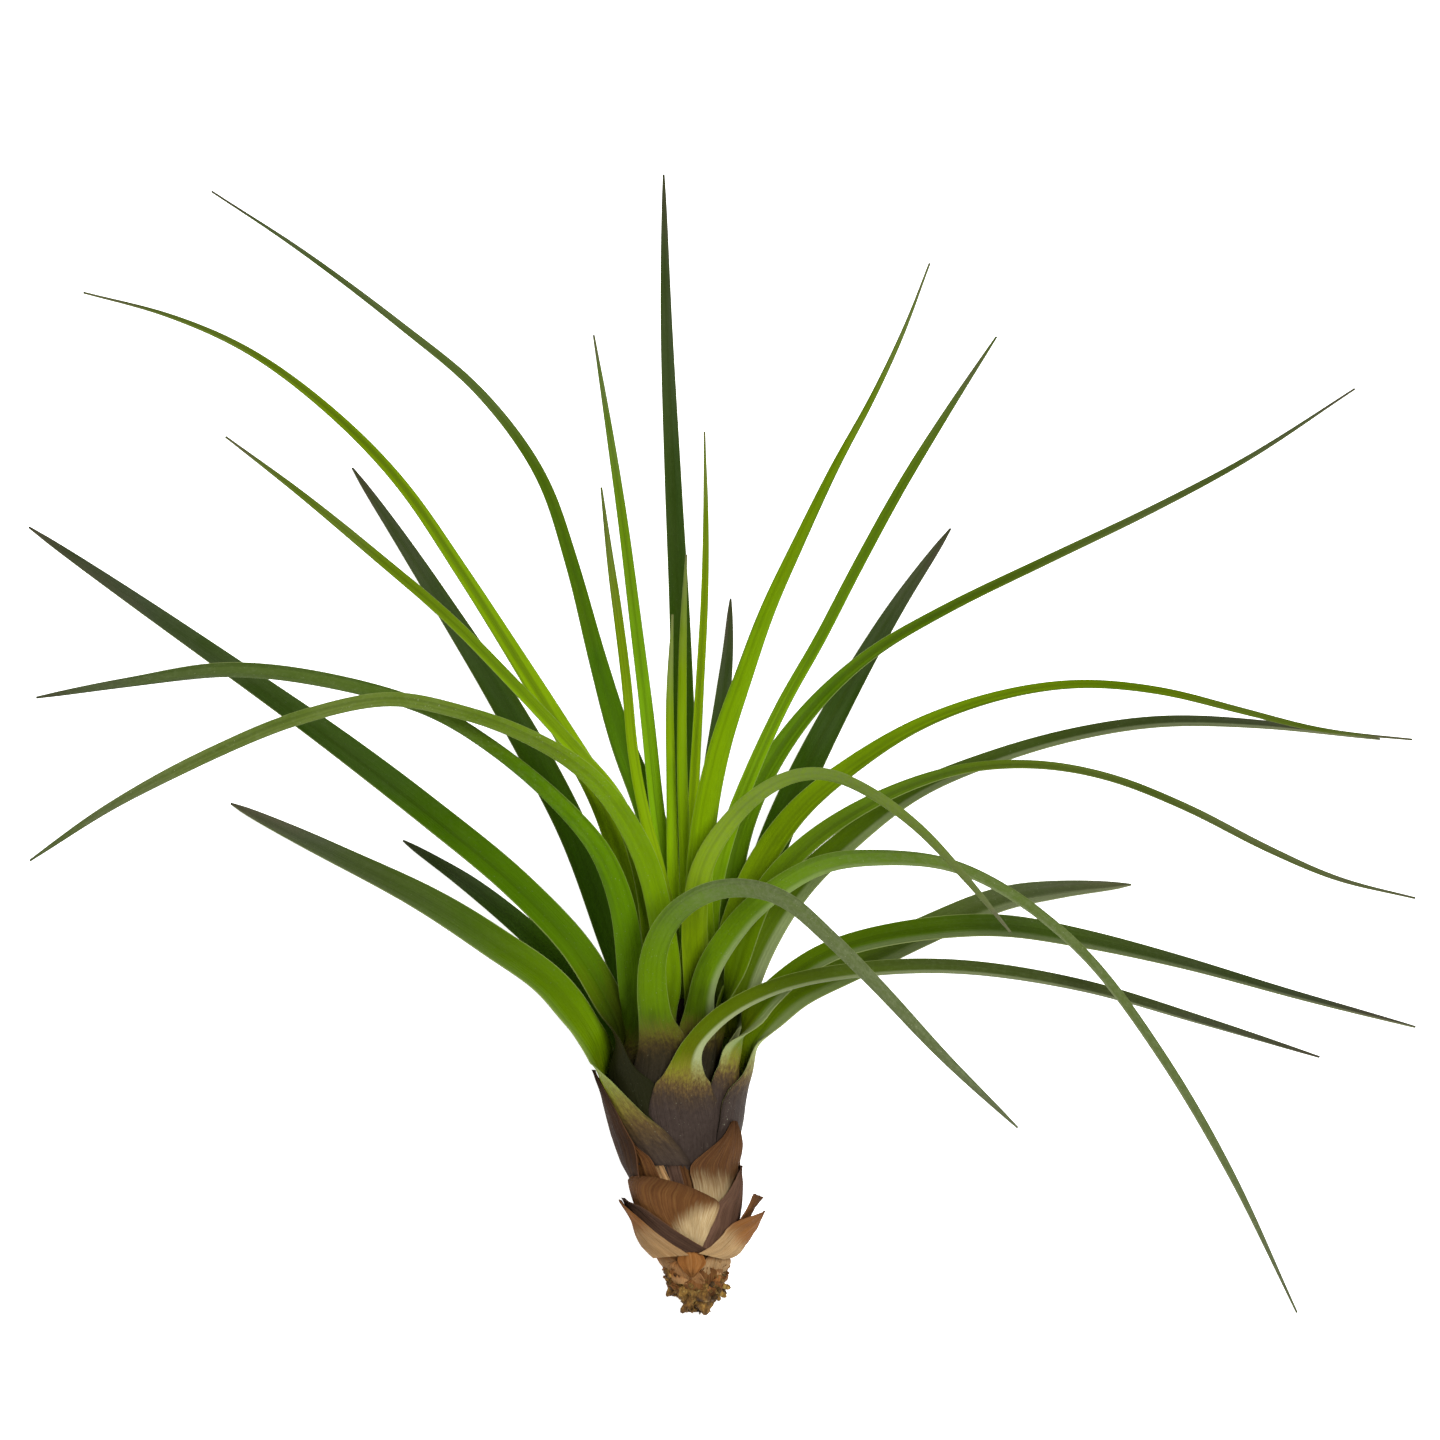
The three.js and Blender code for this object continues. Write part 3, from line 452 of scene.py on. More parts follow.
class Tree:
    """Short calls that add shader nodes to a new material."""

    def __init__(self, name):
        self.material = bpy.data.materials.new(name)
        self.material.use_nodes = True
        self.tree = self.material.node_tree
        self.tree.nodes.clear()

    def node(self, kind, inputs=None, **settings):
        made = self.tree.nodes.new(kind)
        for key, value in settings.items():
            setattr(made, key, value)
        for key, value in (inputs or {}).items():
            socket = made.inputs[key]
            if isinstance(value, bpy.types.NodeSocket):
                self.tree.links.new(value, socket)
            else:
                socket.default_value = value
        return made

    def attribute(self, label):
        return self.node("ShaderNodeAttribute", attribute_name=label).outputs["Vector"]

    def split(self, vector):
        parts = self.node("ShaderNodeSeparateXYZ", {0: vector})
        return parts.outputs[0], parts.outputs[1], parts.outputs[2]

    def math(self, operation, a, b=0, c=0, clamp=False):
        inputs = {0: a, 1: b, 2: c}
        return self.node("ShaderNodeMath", inputs, operation=operation, use_clamp=clamp).outputs[0]

    def times(self, a, b, clamp=False):
        return self.math("MULTIPLY", a, b, clamp=clamp)

    def moved(self, value, noise, amount, clamp=False):
        """The value, moved to and fro by the noise."""
        return self.math("MULTIPLY_ADD", self.math("SUBTRACT", noise, 0.5), amount, value, clamp)

    def between(self, value, low, high, to_low=0, to_high=1):
        inputs = {0: value, 1: low, 2: high, 3: to_low, 4: to_high}
        made = self.node("ShaderNodeMapRange", inputs, interpolation_type="SMOOTHSTEP")
        return made.outputs[0]

    def noise(self, vector, factors, detail=3, roughness=0.55):
        scaled = self.node("ShaderNodeVectorMath", {0: vector, 1: factors}, operation="MULTIPLY")
        inputs = {"Vector": scaled.outputs[0], "Scale": 1, "Detail": detail, "Roughness": roughness}
        return self.node("ShaderNodeTexNoise", inputs).outputs[0]

    def ramp(self, value, stops, light=1):
        made = self.node("ShaderNodeValToRGB", {0: value})
        points = made.color_ramp.elements
        while len(points) < len(stops):
            points.new(0.5)
        for point, (position, code) in zip(points, stops):
            point.position = position
            point.color = linear(code, light)
        return made.outputs[0]

    def mix(self, factor, a, b, blend="MIX"):
        made = self.node("ShaderNodeMix", data_type="RGBA", blend_type=blend)
        for socket, value in ((made.inputs[0], factor), (made.inputs[6], a), (made.inputs[7], b)):
            if isinstance(value, bpy.types.NodeSocket):
                self.tree.links.new(value, socket)
            else:
                socket.default_value = value
        return made.outputs[2]

    def bump(self, height, strength, distance):
        inputs = {"Strength": strength, "Distance": distance, "Height": height}
        return self.node("ShaderNodeBump", inputs).outputs[0]

    def finish(self, colour, roughness, normal, **constants):
        inputs = {"Base Color": colour, "Roughness": roughness, "Normal": normal}
        inputs.update({key.replace("_", " "): value for key, value in constants.items()})
        shader = self.node("ShaderNodeBsdfPrincipled", inputs)
        output = self.node("ShaderNodeOutputMaterial")
        self.tree.links.new(shader.outputs[0], output.inputs[0])
        return self.material


# Colours are written as they look under the studio light, and divided by that light.
STUDIO_LIGHT = 1.06
SKIN_SATURATION = 1.06
FADE_STOPS = [(0, "3f3530"), (0.2, "44382d"), (0.36, "5c4a2d"), (0.5, "74692b"), (0.66, "7b7a26")]
LOOKS = {
    "bright": ([(0, "627e02"), (0.1, "729200"), (0.3, "749600"), (0.5, "6a8c02"),
                (0.65, "627e0e"), (0.8, "5c7120"), (0.95, "596534"), (1, "5b5a40")], 0.22, 0.02),
    "fresh": ([(0, "5e7c08"), (0.1, "5c7e04"), (0.35, "4e6e0a"), (0.55, "4c6016"),
               (0.75, "545f32"), (0.92, "525a3a"), (1, "4b4638")], 0.32, 0.05),
    "deep": ([(0, "6b7a10"), (0.08, "5c7a0a"), (0.25, "4c6814"), (0.45, "40561c"),
              (0.65, "3c4a22"), (0.85, "3e4530"), (1, "4a4638")], 0.38, 0.1),
    "scurfy": ([(0, "5c7a08"), (0.08, "6a8e04"), (0.3, "688c08"), (0.42, "5c7420"),
                (0.6, "5c6e2e"), (0.8, "586632"), (0.95, "525a3c"), (1, "4b4c36")], 0.3, 0.22),
    # Painted shade: the dark look is a darker copy of the leaf skin for the back leaves, which lie in shade
    # behind the others.
    "dark": ([(0, "506c0c"), (0.1, "406204"), (0.3, "2c4804"), (0.5, "2f4610"),
              (0.75, "384626"), (0.92, "3e442e"), (1, "403c30")], 0.25, 0.05),
}


def leaf_material(look):
    stops, edge_strength, scurf = LOOKS[look]
    tree = Tree(f"{look}_leaf_skin")
    grain = tree.attribute("grain")
    along = tree.split(grain)[1]
    position, across, inner = tree.split(tree.attribute("place"))
    light, grey, yellow = tree.split(tree.attribute("tone"))
    fade, band, shade = tree.split(tree.attribute("fade"))
    streaks = tree.noise(grain, (1.5, 0.016, 1), 4, 0.6)
    grooves = tree.noise(grain, (0.9, 0.004, 1), 1, 0.5)
    threads = tree.noise(grain, (5.5, 0.1, 1), 2, 0.5)
    clouds = tree.noise(grain, (0.22, 0.06, 1), 3, 0.55)
    mottle = tree.noise(grain, (1.9, 1.1, 1), 4, 0.7)
    flecks = tree.noise(grain, (3.4, 2.9, 1), 1, 0.5)

    moved = tree.moved(position, clouds, 0.3)
    moved = tree.moved(moved, streaks, 0.1, clamp=True)
    blade = tree.ramp(moved, stops, STUDIO_LIGHT)
    patches = tree.ramp(clouds, [(0.25, "b4c08c"), (0.5, "f4f4f0"), (0.75, "ffffff")])
    blade = tree.mix(0.65, blade, patches, "MULTIPLY")
    lines = tree.ramp(streaks, [(0.28, "a4a890"), (0.5, "ececec"), (0.72, "ffffff")])
    blade = tree.mix(0.25, blade, lines, "MULTIPLY")
    folds = tree.between(grooves, 0.52, 0.6)
    folds = tree.times(folds, tree.between(position, 0.05, 0.35, 0, 0.3))
    blade = tree.mix(folds, blade, in_studio("2c3c08"))
    # Each leaf's lightness: partly its own tone, partly painted light and shade for how lit it sits among
    # the others.
    lighter = tree.math("ADD", light, 1)
    hue = tree.math("MULTIPLY_ADD", yellow, -0.05, 0.5)
    toned = {"Hue": hue, "Saturation": SKIN_SATURATION, "Value": lighter, "Color": blade}
    blade = tree.node("ShaderNodeHueSaturation", toned).outputs[0]
    bloomed = tree.between(position, 0.12, 0.45)
    scaly = tree.times(grey, tree.between(mottle, 0.25, 0.75, 0.45, 1))
    scaly = tree.times(scaly, bloomed)
    blade = tree.mix(scaly, blade, in_studio("626a4a"))
    bloom = tree.times(tree.between(mottle, 0.45, 0.8), scurf * 0.5)
    bloom = tree.times(bloom, tree.between(bloomed, 0, 1, 0.3, 1))
    blade = tree.mix(bloom, blade, in_studio("869368"))

    shifted = tree.math("MULTIPLY_ADD", inner, 9, along)
    shifted = tree.moved(shifted, streaks, 2.5)
    shifted = tree.moved(shifted, clouds, 5)
    shifted = tree.moved(shifted, mottle, 6)
    share = tree.math("DIVIDE", shifted, tree.times(fade, 2))
    share = tree.math("ADD", share, 0.5, clamp=True)
    sheath = tree.ramp(share, FADE_STOPS, STUDIO_LIGHT)
    rough = tree.ramp(threads, [(0.25, "a8a29c"), (0.7, "ffffff")])
    sheath = tree.mix(0.5, sheath, rough, "MULTIPLY")
    wear_and_foot_shade = tree.ramp(mottle, [(0.3, "a89f98"), (0.55, "f0eeec"), (0.75, "ffffff")])
    sheath = tree.mix(0.5, sheath, wear_and_foot_shade, "MULTIPLY")
    colour = tree.mix(tree.between(share, 0.5, 0.95), sheath, blade)

    silver = tree.between(tree.times(across, band), 0.12, 0.36)
    silver = tree.times(silver, tree.math("ABSOLUTE", band))
    silver = tree.times(silver, tree.between(position, 0, 0.3, 0.75, 0.3))
    silver = tree.times(silver, tree.between(share, 0.35, 0.9))
    colour = tree.mix(silver, colour, in_studio("acb48a"))
    edge = tree.math("ABSOLUTE", across)
    rim = tree.between(edge, 0.945, 0.99)
    rim = tree.times(rim, tree.between(share, 0.3, 1, 0, edge_strength))
    colour = tree.mix(rim, colour, in_studio("a3ae6c"))
    # Painted shade: the middle of the inner face darkened, as if shaded down in the channel.
    painted_channel_shade = tree.between(edge, 0, 0.55, 0.18, 0)
    painted_channel_shade = tree.times(painted_channel_shade, inner)
    colour = tree.mix(painted_channel_shade, colour, linear("1f2a08"))
    spread = tree.between(clouds, 0.35, 0.65, 0.76, 0.71)
    powder = tree.between(tree.math("SUBTRACT", flecks, spread), 0, 0.06)
    in_sheath = tree.between(share, 0, 1, 1, 0)
    powder_share = tree.math("MULTIPLY_ADD", in_sheath, 0.3, scurf)
    colour = tree.mix(tree.times(powder, powder_share), colour, in_studio("b9bc9d"))
    # Painted shadow: a dark line along the sheath's margins, where it lies against the leaves beside it.
    painted_margin_shadow = tree.between(edge, 0.9, 0.99, 0, 0.55)
    colour = tree.mix(tree.times(painted_margin_shadow, in_sheath), colour, linear("241d18"))
    # Painted shade: each leaf's base darkened down between the others, most up to the end of its dark
    # sheath and fading out by 45 mm above it, by its SHADES share.
    painted_base_shade = tree.between(along, -2, 14, 0.75, 0)
    painted_base_shade = tree.math("ADD", painted_base_shade, tree.between(along, 0, 45, 0.25, 0))
    painted_base_shade = tree.times(painted_base_shade, shade)
    colour = tree.mix(painted_base_shade, colour, linear("161a04"))
    roughness = tree.between(threads, 0.2, 0.8, 0.45 + 0.25 * scurf, 0.62 + 0.25 * scurf)
    relief = tree.math("MULTIPLY_ADD", threads, 0.35, streaks)
    relief = tree.math("MULTIPLY_ADD", grooves, 1.2, relief)
    relief = tree.math("MULTIPLY_ADD", powder, 0.2, relief)
    normal = tree.bump(relief, 0.6, 0.0004)
    return tree.finish(colour, roughness, normal, Specular_IOR_Level=0.03)


def dry_material():
    tree = Tree("dry_sheath_skin")
    grain = tree.attribute("grain")
    position, across, inner = tree.split(tree.attribute("place"))
    light, pale, hue = tree.split(tree.attribute("tone"))
    silk_end, skew = tree.split(tree.attribute("silk"))[:2]
    streaks = tree.noise(grain, (2.6, 0.06, 1), 4, 0.55)
    threads = tree.noise(grain, (6.5, 0.25, 1), 3, 0.6)
    clouds = tree.noise(grain, (0.3, 0.18, 1), 3, 0.6)
    brown = tree.ramp(streaks, [(0.25, "5a3a24"), (0.45, "6c4729"), (0.6, "79532f"), (0.8, "8b663b")],
                      DRY_LIGHT)
    warm = tree.ramp(streaks, [(0.25, "885428"), (0.5, "9c6836"), (0.8, "b08250")], DRY_LIGHT)
    dusk = tree.ramp(streaks, [(0.25, "41312c"), (0.5, "4d3c34"), (0.8, "5d4b40")], DRY_LIGHT)
    colour = tree.mix(tree.math("MAXIMUM", hue, 0), brown, warm)
    colour = tree.mix(tree.math("MAXIMUM", tree.times(hue, -1), 0), colour, dusk)
    moved = tree.moved(position, streaks, 0.35)
    moved = tree.moved(moved, clouds, 0.3)
    skewed = tree.math("SUBTRACT", moved, tree.times(skew, across))
    silk = tree.between(tree.math("SUBTRACT", skewed, silk_end), -0.14, 0.14, 1, 0)
    silky = tree.ramp(threads, [(0.25, "b89a6a"), (0.5, "d0b686"), (0.8, "e6d4ac")], DRY_LIGHT)
    colour = tree.mix(tree.times(silk, pale, clamp=True), colour, silky)
    # Painted shade: where the silky share is below 0 the foot is darkened instead, as if shaded where it
    # tucks under the sheaths below.
    wear_and_foot_shade = tree.times(silk, tree.times(pale, -1), clamp=True)
    colour = tree.mix(wear_and_foot_shade, colour, linear("2c1e12", DRY_LIGHT))
    tip = tree.between(moved, 0.75, 1.05, 0, 0.4)
    colour = tree.mix(tip, colour, linear("33211a", DRY_LIGHT))
    shade = tree.ramp(clouds, [(0.25, "989088"), (0.5, "dcd8d4"), (0.7, "ffffff")])
    colour = tree.mix(0.6, colour, shade, "MULTIPLY")
    fine = tree.ramp(threads, [(0.25, "c0b8b0"), (0.65, "ffffff")])
    colour = tree.mix(0.4, colour, fine, "MULTIPLY")
    lighter = tree.math("ADD", light, 1)
    colour = tree.node("ShaderNodeHueSaturation", {"Value": lighter, "Color": colour}).outputs[0]
    rim = tree.between(tree.math("ABSOLUTE", across), 0.955, 0.99, 0, 0.3)
    colour = tree.mix(rim, colour, linear("8a6040", DRY_LIGHT))
    roughness = tree.between(threads, 0.2, 0.8, 0.5, 0.75)
    relief = tree.math("MULTIPLY_ADD", threads, 0.5, streaks)
    normal = tree.bump(relief, 0.45, 0.0005)
    return tree.finish(colour, roughness, normal, Specular_IOR_Level=0.02)


def root_material():
    tree = Tree("root_skin")
    grain = tree.attribute("grain")
    light, yellow, dark = tree.split(tree.attribute("tone"))
    lumps = tree.noise(grain, (0.55, 0.55, 0.55), 5, 0.65)
    fibres = tree.noise(grain, (2.2, 0.9, 2.2), 3, 0.6)
    colour = tree.ramp(lumps, [(0.3, "33200f"), (0.45, "6a4622"), (0.58, "946a30"), (0.75, "b4a05c")],
                       DRY_LIGHT)
    golden = tree.ramp(lumps, [(0.3, "5c4414"), (0.5, "967434"), (0.75, "bca866")], DRY_LIGHT)
    colour = tree.mix(yellow, colour, golden)
    shade = tree.ramp(fibres, [(0.3, "746a60"), (0.65, "ffffff")])
    colour = tree.mix(0.8, colour, shade, "MULTIPLY")
    # Darker where the tone's third number asks: painted shade in the core's hollows and crevices, and the
    # root stubs' own darker tone.
    colour = tree.mix(dark, colour, linear("241a12", DRY_LIGHT))
    lighter = tree.math("ADD", light, 1)
    colour = tree.node("ShaderNodeHueSaturation", {"Value": lighter, "Color": colour}).outputs[0]
    roughness = tree.between(fibres, 0.2, 0.8, 0.65, 0.85)
    normal = tree.bump(tree.math("ADD", lumps, fibres), 0.8, 0.0007)
    return tree.finish(colour, roughness, normal, Specular_IOR_Level=0.15)


def floor_material():
    tree = Tree("pale_floor")
    coordinates = tree.node("ShaderNodeTexCoord").outputs["Object"]
    grain = tree.noise(coordinates, (3, 3, 3), 2)
    colour = tree.ramp(grain, [(0, "fbfbfa"), (1, "fefefe")])
    roughness = tree.between(grain, 0, 1, 0.8, 0.9)
    normal = tree.bump(grain, 0.02, 0.001)
    return tree.finish(colour, roughness, normal, Emission_Color=(1, 1, 1, 1), Emission_Strength=0.8)


# Dry sheaths on the stem, the inner ones first: a name, the two margins from foot to tip as azimuth and
# height (the left one seen from outside, then the right one), distances from the axis from foot to tip,
# how much higher the middle is than the margins, (light, how silky its foot is, below 0 how much painted
# shade darkens its foot instead, hue: -1 dusky, 1 orange), and how far up the silky foot reaches.
DRY_SHEATHS = [
    ("inner_left", ((188, 18), (176, 24), (152, 28.5), (137, 31.8)),
     ((116, 18), (116, 24), (119, 28), (129, 29.8), (136, 31.6)), (7.6, 8.8, 10.15, 11.5), 0,
     (-0.28, 0, 0.1), 0.2),
    ("brown_strip", ((100, 18), (97, 23), (95, 28.5)), ((74, 18), (76, 23), (80, 28.5)),
     (7.6, 8.5, 9.1), 0, (-0.3, 0, -0.1), 0.2),
    ("grey_strip", ((108, 18), (106, 23.5), (105, 28.5)), ((88, 18), (90, 23.5), (91, 28.5)),
     (7.8, 8.7, 9.2), 0, (0.05, 0, -0.9), 0.2),
    ("pale_strip", ((127, 18), (125, 24), (126, 28.5)), ((103, 18), (105, 23.5), (110, 28.5)),
     (8, 8.9, 9.4), 0, (0.3, 0.3, 0.4), 0.9),
    ("outer_left", ((250, 22), (238, 30), (216, 38), (186, 43), (180, 43.8)),
     ((158, 21.5), (138, 25.5), (131, 30), (140, 34.5), (153, 38.8), (170, 42.5), (178, 43.7)),
     (8.7, 10.7, 11.9, 12.9, 14.8), 0, (-0.62, 0, -0.5), 0.2),
    ("upper_right", ((76, 18), (80, 23), (80, 26.5), (63, 29.5), (46, 32), (37, 34.4)),
     ((-22, 18), (-10, 24), (0, 28), (9, 30.5), (17, 32.4), (28, 34.4)),
     (7.9, 9, 10.5, 11.8, 12.4), 0.4, (-0.26, 0.9, -0.15), 0.3),
    ("tan_front", ((116, 11.5), (146, 15), (170, 20), (174, 23.2), (150, 24.8)),
     ((78, 11.5), (64, 15.5), (55, 18), (53, 19.8), (57, 20.6)), (7.4, 8.6, 9.4, 10), 1.4,
     (-0.16, 0.9, 0.1), 0.28),
    ("grey_right", ((84, 10.8), (82, 12.9), (68, 15.8), (57, 19.3), (41, 21.6), (25, 24.5), (7, 26.5)),
     ((-28, 10.5), (-18, 15), (-8, 19), (-2, 23.5), (4, 26.3)), (7.3, 8.4, 9.4, 10.2, 10.8), 0.2,
     (0.62, 0, -0.8), 0.2),
    ("torn_right", ((30, 12), (28, 15.5), (27, 18.5), (28, 21.7)),
     ((-46, 12), (-30, 15.5), (-12, 18.4), (2, 20.9)),
     (8, 9.4, 11.6, 13.7), 0, (-0.2, 0, 0.25), 0.2),
    ("dusky_left", ((150, 10.6), (165, 12.6), (179, 15), (186, 18), (184, 20.6)),
     ((66, 11.5), (80, 12.5), (103, 14.8), (124, 17.3), (143, 19.3), (174, 20.8)),
     (8, 8.7, 9.3, 10.1, 11.3), 0, (-0.2, 0, -0.8), 0.2),
    ("lower_left", ((150, 10), (166, 12.2), (180, 14.7), (187, 17.8), (185, 20.4)),
     ((95, 10.6), (101, 11.4), (114, 12.8), (129, 14.8), (146, 17.2), (178, 20.5)),
     (8.5, 9.2, 9.8, 10.5, 11.8), -0.2, (-0.06, 0.35, 0.5), 0.5),
    ("lower_right", ((84, 11), (71, 11.9), (59, 13.1), (48, 14.6), (37, 16.5), (25, 17.5), (4, 18.5)),
     ((50, 9.8), (30, 10.2), (12, 11.2), (-8, 13), (-14, 15.5), (-6, 17.3), (0, 18.4)),
     (8.3, 8.5, 9.2, 12, 13.8), -0.2, (0.1, 0.5, 0.35), 0.5),
    ("low_left", ((185, 7), (182, 8.4), (174, 10.2), (162, 11.6)),
     ((76, 5.6), (84, 7.4), (102, 9.6), (132, 11)),
     (4.5, 6, 6.8, 7.3), 0.2, (0.1, 0.2, 0.3), 0.5),
    ("low_front", ((150, 6.2), (148, 7.2), (138, 8.6), (118, 9.6)),
     ((70, 4.8), (74, 6), (84, 7.6), (102, 8.8)),
     (4.5, 5.8, 6.4, 6.9), 0.2, (0.2, 0.1, 0.35), 0.6),
    ("under_dome", ((80, 6.6), (78, 8.4), (66, 10.6), (52, 11.4)),
     ((0, 6.8), (10, 8.8), (28, 10.4), (44, 11.1)),
     (4.8, 6.3, 7, 7.5), 0.2, (0.1, 0.35, 0.15), 0.5),
    ("orange_dome", ((99, 6.6), (108, 7.8), (114, 9.4), (110, 10.6), (98, 11.4)),
     ((93, 6.6), (84, 7.8), (75, 9.4), (78, 10.6), (90, 11.4)), (6.3, 7.2, 7.7, 7.8), 0.2,
     (0, -0.5, 1), 0.2),
    ("back_low", ((340, 3), (330, 8), (312, 14.5)), ((228, 3), (240, 8), (268, 14.5)),
     (3.8, 6.2, 8.4), 0.5, (0.05, 0.4, 0.2), 0.35),
    ("back_left", ((282, 9), (272, 14), (254, 19.5)), ((196, 9), (206, 14), (232, 20)),
     (6, 8.4, 10.2), 0.4, (-0.05, 0.5, 0), 0.35),
    ("back_right", ((350, 9), (346, 15), (334, 20.5)), ((272, 9), (288, 15), (318, 21)),
     (6, 8.4, 10.2), 0.4, (0.1, 0.5, 0.1), 0.35),
    ("back_middle", ((332, 15), (318, 21), (296, 28)), ((218, 15), (232, 21), (262, 28.4)),
     (8.2, 9.8, 11.6), 0.5, (0, 0.7, 0), 0.35),
    ("back_upper", ((300, 20), (286, 28), (262, 35.5)), ((196, 20), (208, 28), (236, 36)),
     (8.8, 11, 13.2), 0.5, (-0.2, 0.3, -0.4), 0.35),
    ("side_right", ((372, 19), (356, 26), (334, 33.5)), ((276, 19), (290, 26), (316, 34)),
     (8.6, 10.7, 12.9), 0.5, (-0.1, 0.4, -0.3), 0.35),
]
# How much further up the silky foot reaches on the right.
SKEWS = {"tan_front": 0.62}
SHEATH_SEED = 300
STUMP_SEED = 23
SMALL_SCALES = 26
GOLDEN_ANGLE = 137.5
CORE_ROWS = 90
CORE_SIDES = 96
SCALE_ROWS = 40
SCALE_ACROSS = 31
MM_PER_DEGREE = 0.17


def margin(points):
    """A smooth margin through (azimuth, height) points, as azimuths and heights."""
    flat = [(azimuth * MM_PER_DEGREE, height, 0) for azimuth, height in points]
    line = middle_line(flat, SCALE_ROWS, 0.006)
    return line[:, 0] / MM_PER_DEGREE, line[:, 1]


def make_dry_sheath(index, row, material):
    """A dry sheath that hugs the stem between its two margins, wavy, ragged and proud at its tip."""
    name, left, right, radii, crown, tone, silk_end = row
    rng = random.Random(SHEATH_SEED + index)
    phase = [rng.uniform(0, 2 * math.pi) for _ in range(6)]
    rows = np.linspace(0, 1, SCALE_ROWS)
    left_azimuth, left_height = margin(left)
    right_azimuth, right_height = margin(right)
    for azimuths, heights, sign in ((left_azimuth, left_height, 1), (right_azimuth, right_height, -1)):
        notch = np.array([rng.gauss(0, 1) for _ in range(SCALE_ROWS)])
        notch = np.convolve(notch, (0.25, 0.5, 0.25), "same") * (0.3 + 0.7 * rows)
        azimuths += sign * RAGGED / MM_PER_DEGREE * notch
        heights += RAGGED * notch[::-1]
    distance = monotone(np.linspace(0, 1, len(radii)), radii, rows)
    reach = np.abs(left_azimuth - right_azimuth).max() * MM_PER_DEGREE / 2
    points, grain, places = [], [], []
    for face in (1, -1):
        for k, s in enumerate(rows):
            for j in range(SCALE_ACROSS):
                t = 2 * j / (SCALE_ACROSS - 1) - 1
                share = (1 + t) / 2
                azimuth = left_azimuth[k] + (right_azimuth[k] - left_azimuth[k]) * share
                y = left_height[k] + (right_height[k] - left_height[k]) * share + crown * s * (1 - t * t)
                waves = 0.1 * math.sin(t * reach * 1.3 + phase[0])
                waves += 0.07 * math.sin(t * reach * 3.1 + phase[1])
                waves += 0.05 * math.sin(t * reach * 5.7 + 3 * s + phase[2])
                lift = waves * (0.4 + 0.9 * s) + 0.3 * abs(t) ** 5 * s
                lift += 0.16 * math.sin(6 * s + 2 * t + phase[3])
                thick = 0.17 * (1 - 0.75 * abs(t) ** 4) * (1 - 0.5 * s)
                radius = distance[k] + lift + face * thick
                points.append(on_stem(y, azimuth, radius))
                grain.append((t * reach, y, 100 + 9 * index + 3 * (face < 0)))
                places.append((s, t, float(face < 0)))
    faces = []
    size = SCALE_ROWS * SCALE_ACROSS
    for k in range(SCALE_ROWS - 1):
        for j in range(SCALE_ACROSS - 1):
            a = k * SCALE_ACROSS + j
            quad = (a, a + 1, a + 1 + SCALE_ACROSS, a + SCALE_ACROSS)
            faces.append(quad)
            faces.append(tuple(size + v for v in quad[::-1]))
    border = list(range(SCALE_ACROSS))
    border += [k * SCALE_ACROSS + SCALE_ACROSS - 1 for k in range(1, SCALE_ROWS)]
    border += [(SCALE_ROWS - 1) * SCALE_ACROSS + j for j in range(SCALE_ACROSS - 2, -1, -1)]
    border += [k * SCALE_ACROSS for k in range(SCALE_ROWS - 2, 0, -1)]
    for a, b in zip(border, border[1:] + border[:1]):
        faces.append((b, a, size + a, size + b))
    attributes = {"grain": grain, "place": places, "tone": [tone] * len(points),
                  "silk": [(silk_end, SKEWS.get(name, 0), 0)] * len(points)}
    make_piece(f"dry_sheath_{name}", points, faces, attributes, material, "stem")


def small_scales():
    """Rows like those of DRY_SHEATHS for the weathered stumps of leaf bases round the root end."""
    rng = random.Random(STUMP_SEED)
    scales = []
    for k in range(SMALL_SCALES):
        azimuth = k * GOLDEN_ANGLE % 360
        foot = 7.6 - 4.6 * k / SMALL_SCALES + rng.uniform(-0.4, 0.4)
        rise = rng.uniform(1.5, 2.4)
        half = rng.uniform(20, 34)
        lean = rng.uniform(-8, 8)
        left, right = [[(azimuth + side, foot), (azimuth + side * 0.95 + lean / 2, foot + rise / 2),
                        (azimuth + side * 0.5 + lean, foot + rise)] for side in (half, -half)]
        radii = [core_radius(foot + rise * share) + 0.25 + 0.6 * share for share in (0, 0.5, 1)]
        tone = (rng.uniform(0, 0.6), rng.uniform(-0.9, 0.4), rng.uniform(0, 0.5))
        scales.append((f"stump_{k}", left, right, radii, 0.5, tone, 0.3))
    return scales


def make_core(material):
    """The lumpy woody core of the stem, which shows at the root end and between the sheaths."""
    points, tones = [], []
    for k in range(CORE_ROWS):
        y = 0.2 + 56.4 * k / (CORE_ROWS - 1)
        rough = 1 - float(smoothstep(y, 5, 16))
        for j in range(CORE_SIDES):
            angle = 2 * math.pi * j / CORE_SIDES
            lump = 0.4 * math.sin(3 * angle + y * 0.9) + 0.35 * math.sin(7 * angle - y * 1.7 + 1.3)
            lump += 0.3 * math.sin(11 * angle + y * 2.6) + 0.22 * math.sin(17 * angle - y * 3.7)
            radius = core_radius(y) + lump * rough * 0.9
            x = stem_middle(y) + radius * math.cos(angle)
            z = radius * math.sin(angle)
            points.append((x, y, z))
            # Painted shade: the core darker in the hollows between its lumps near the root end, and
            # darkening from 20 to 34 mm up, where it shows only down between the sheaths.
            painted_hollow_shade = float(smoothstep(-lump, 0.25, 0.7)) * rough
            tones.append((-0.1, 0.5 * rough, max(painted_hollow_shade * 0.9, float(smoothstep(y, 20, 34)))))
    attributes = {"grain": points, "tone": tones}
    faces = ring_faces(CORE_ROWS, CORE_SIDES)
    make_piece("stem_core", points, faces, attributes, material, "stem")


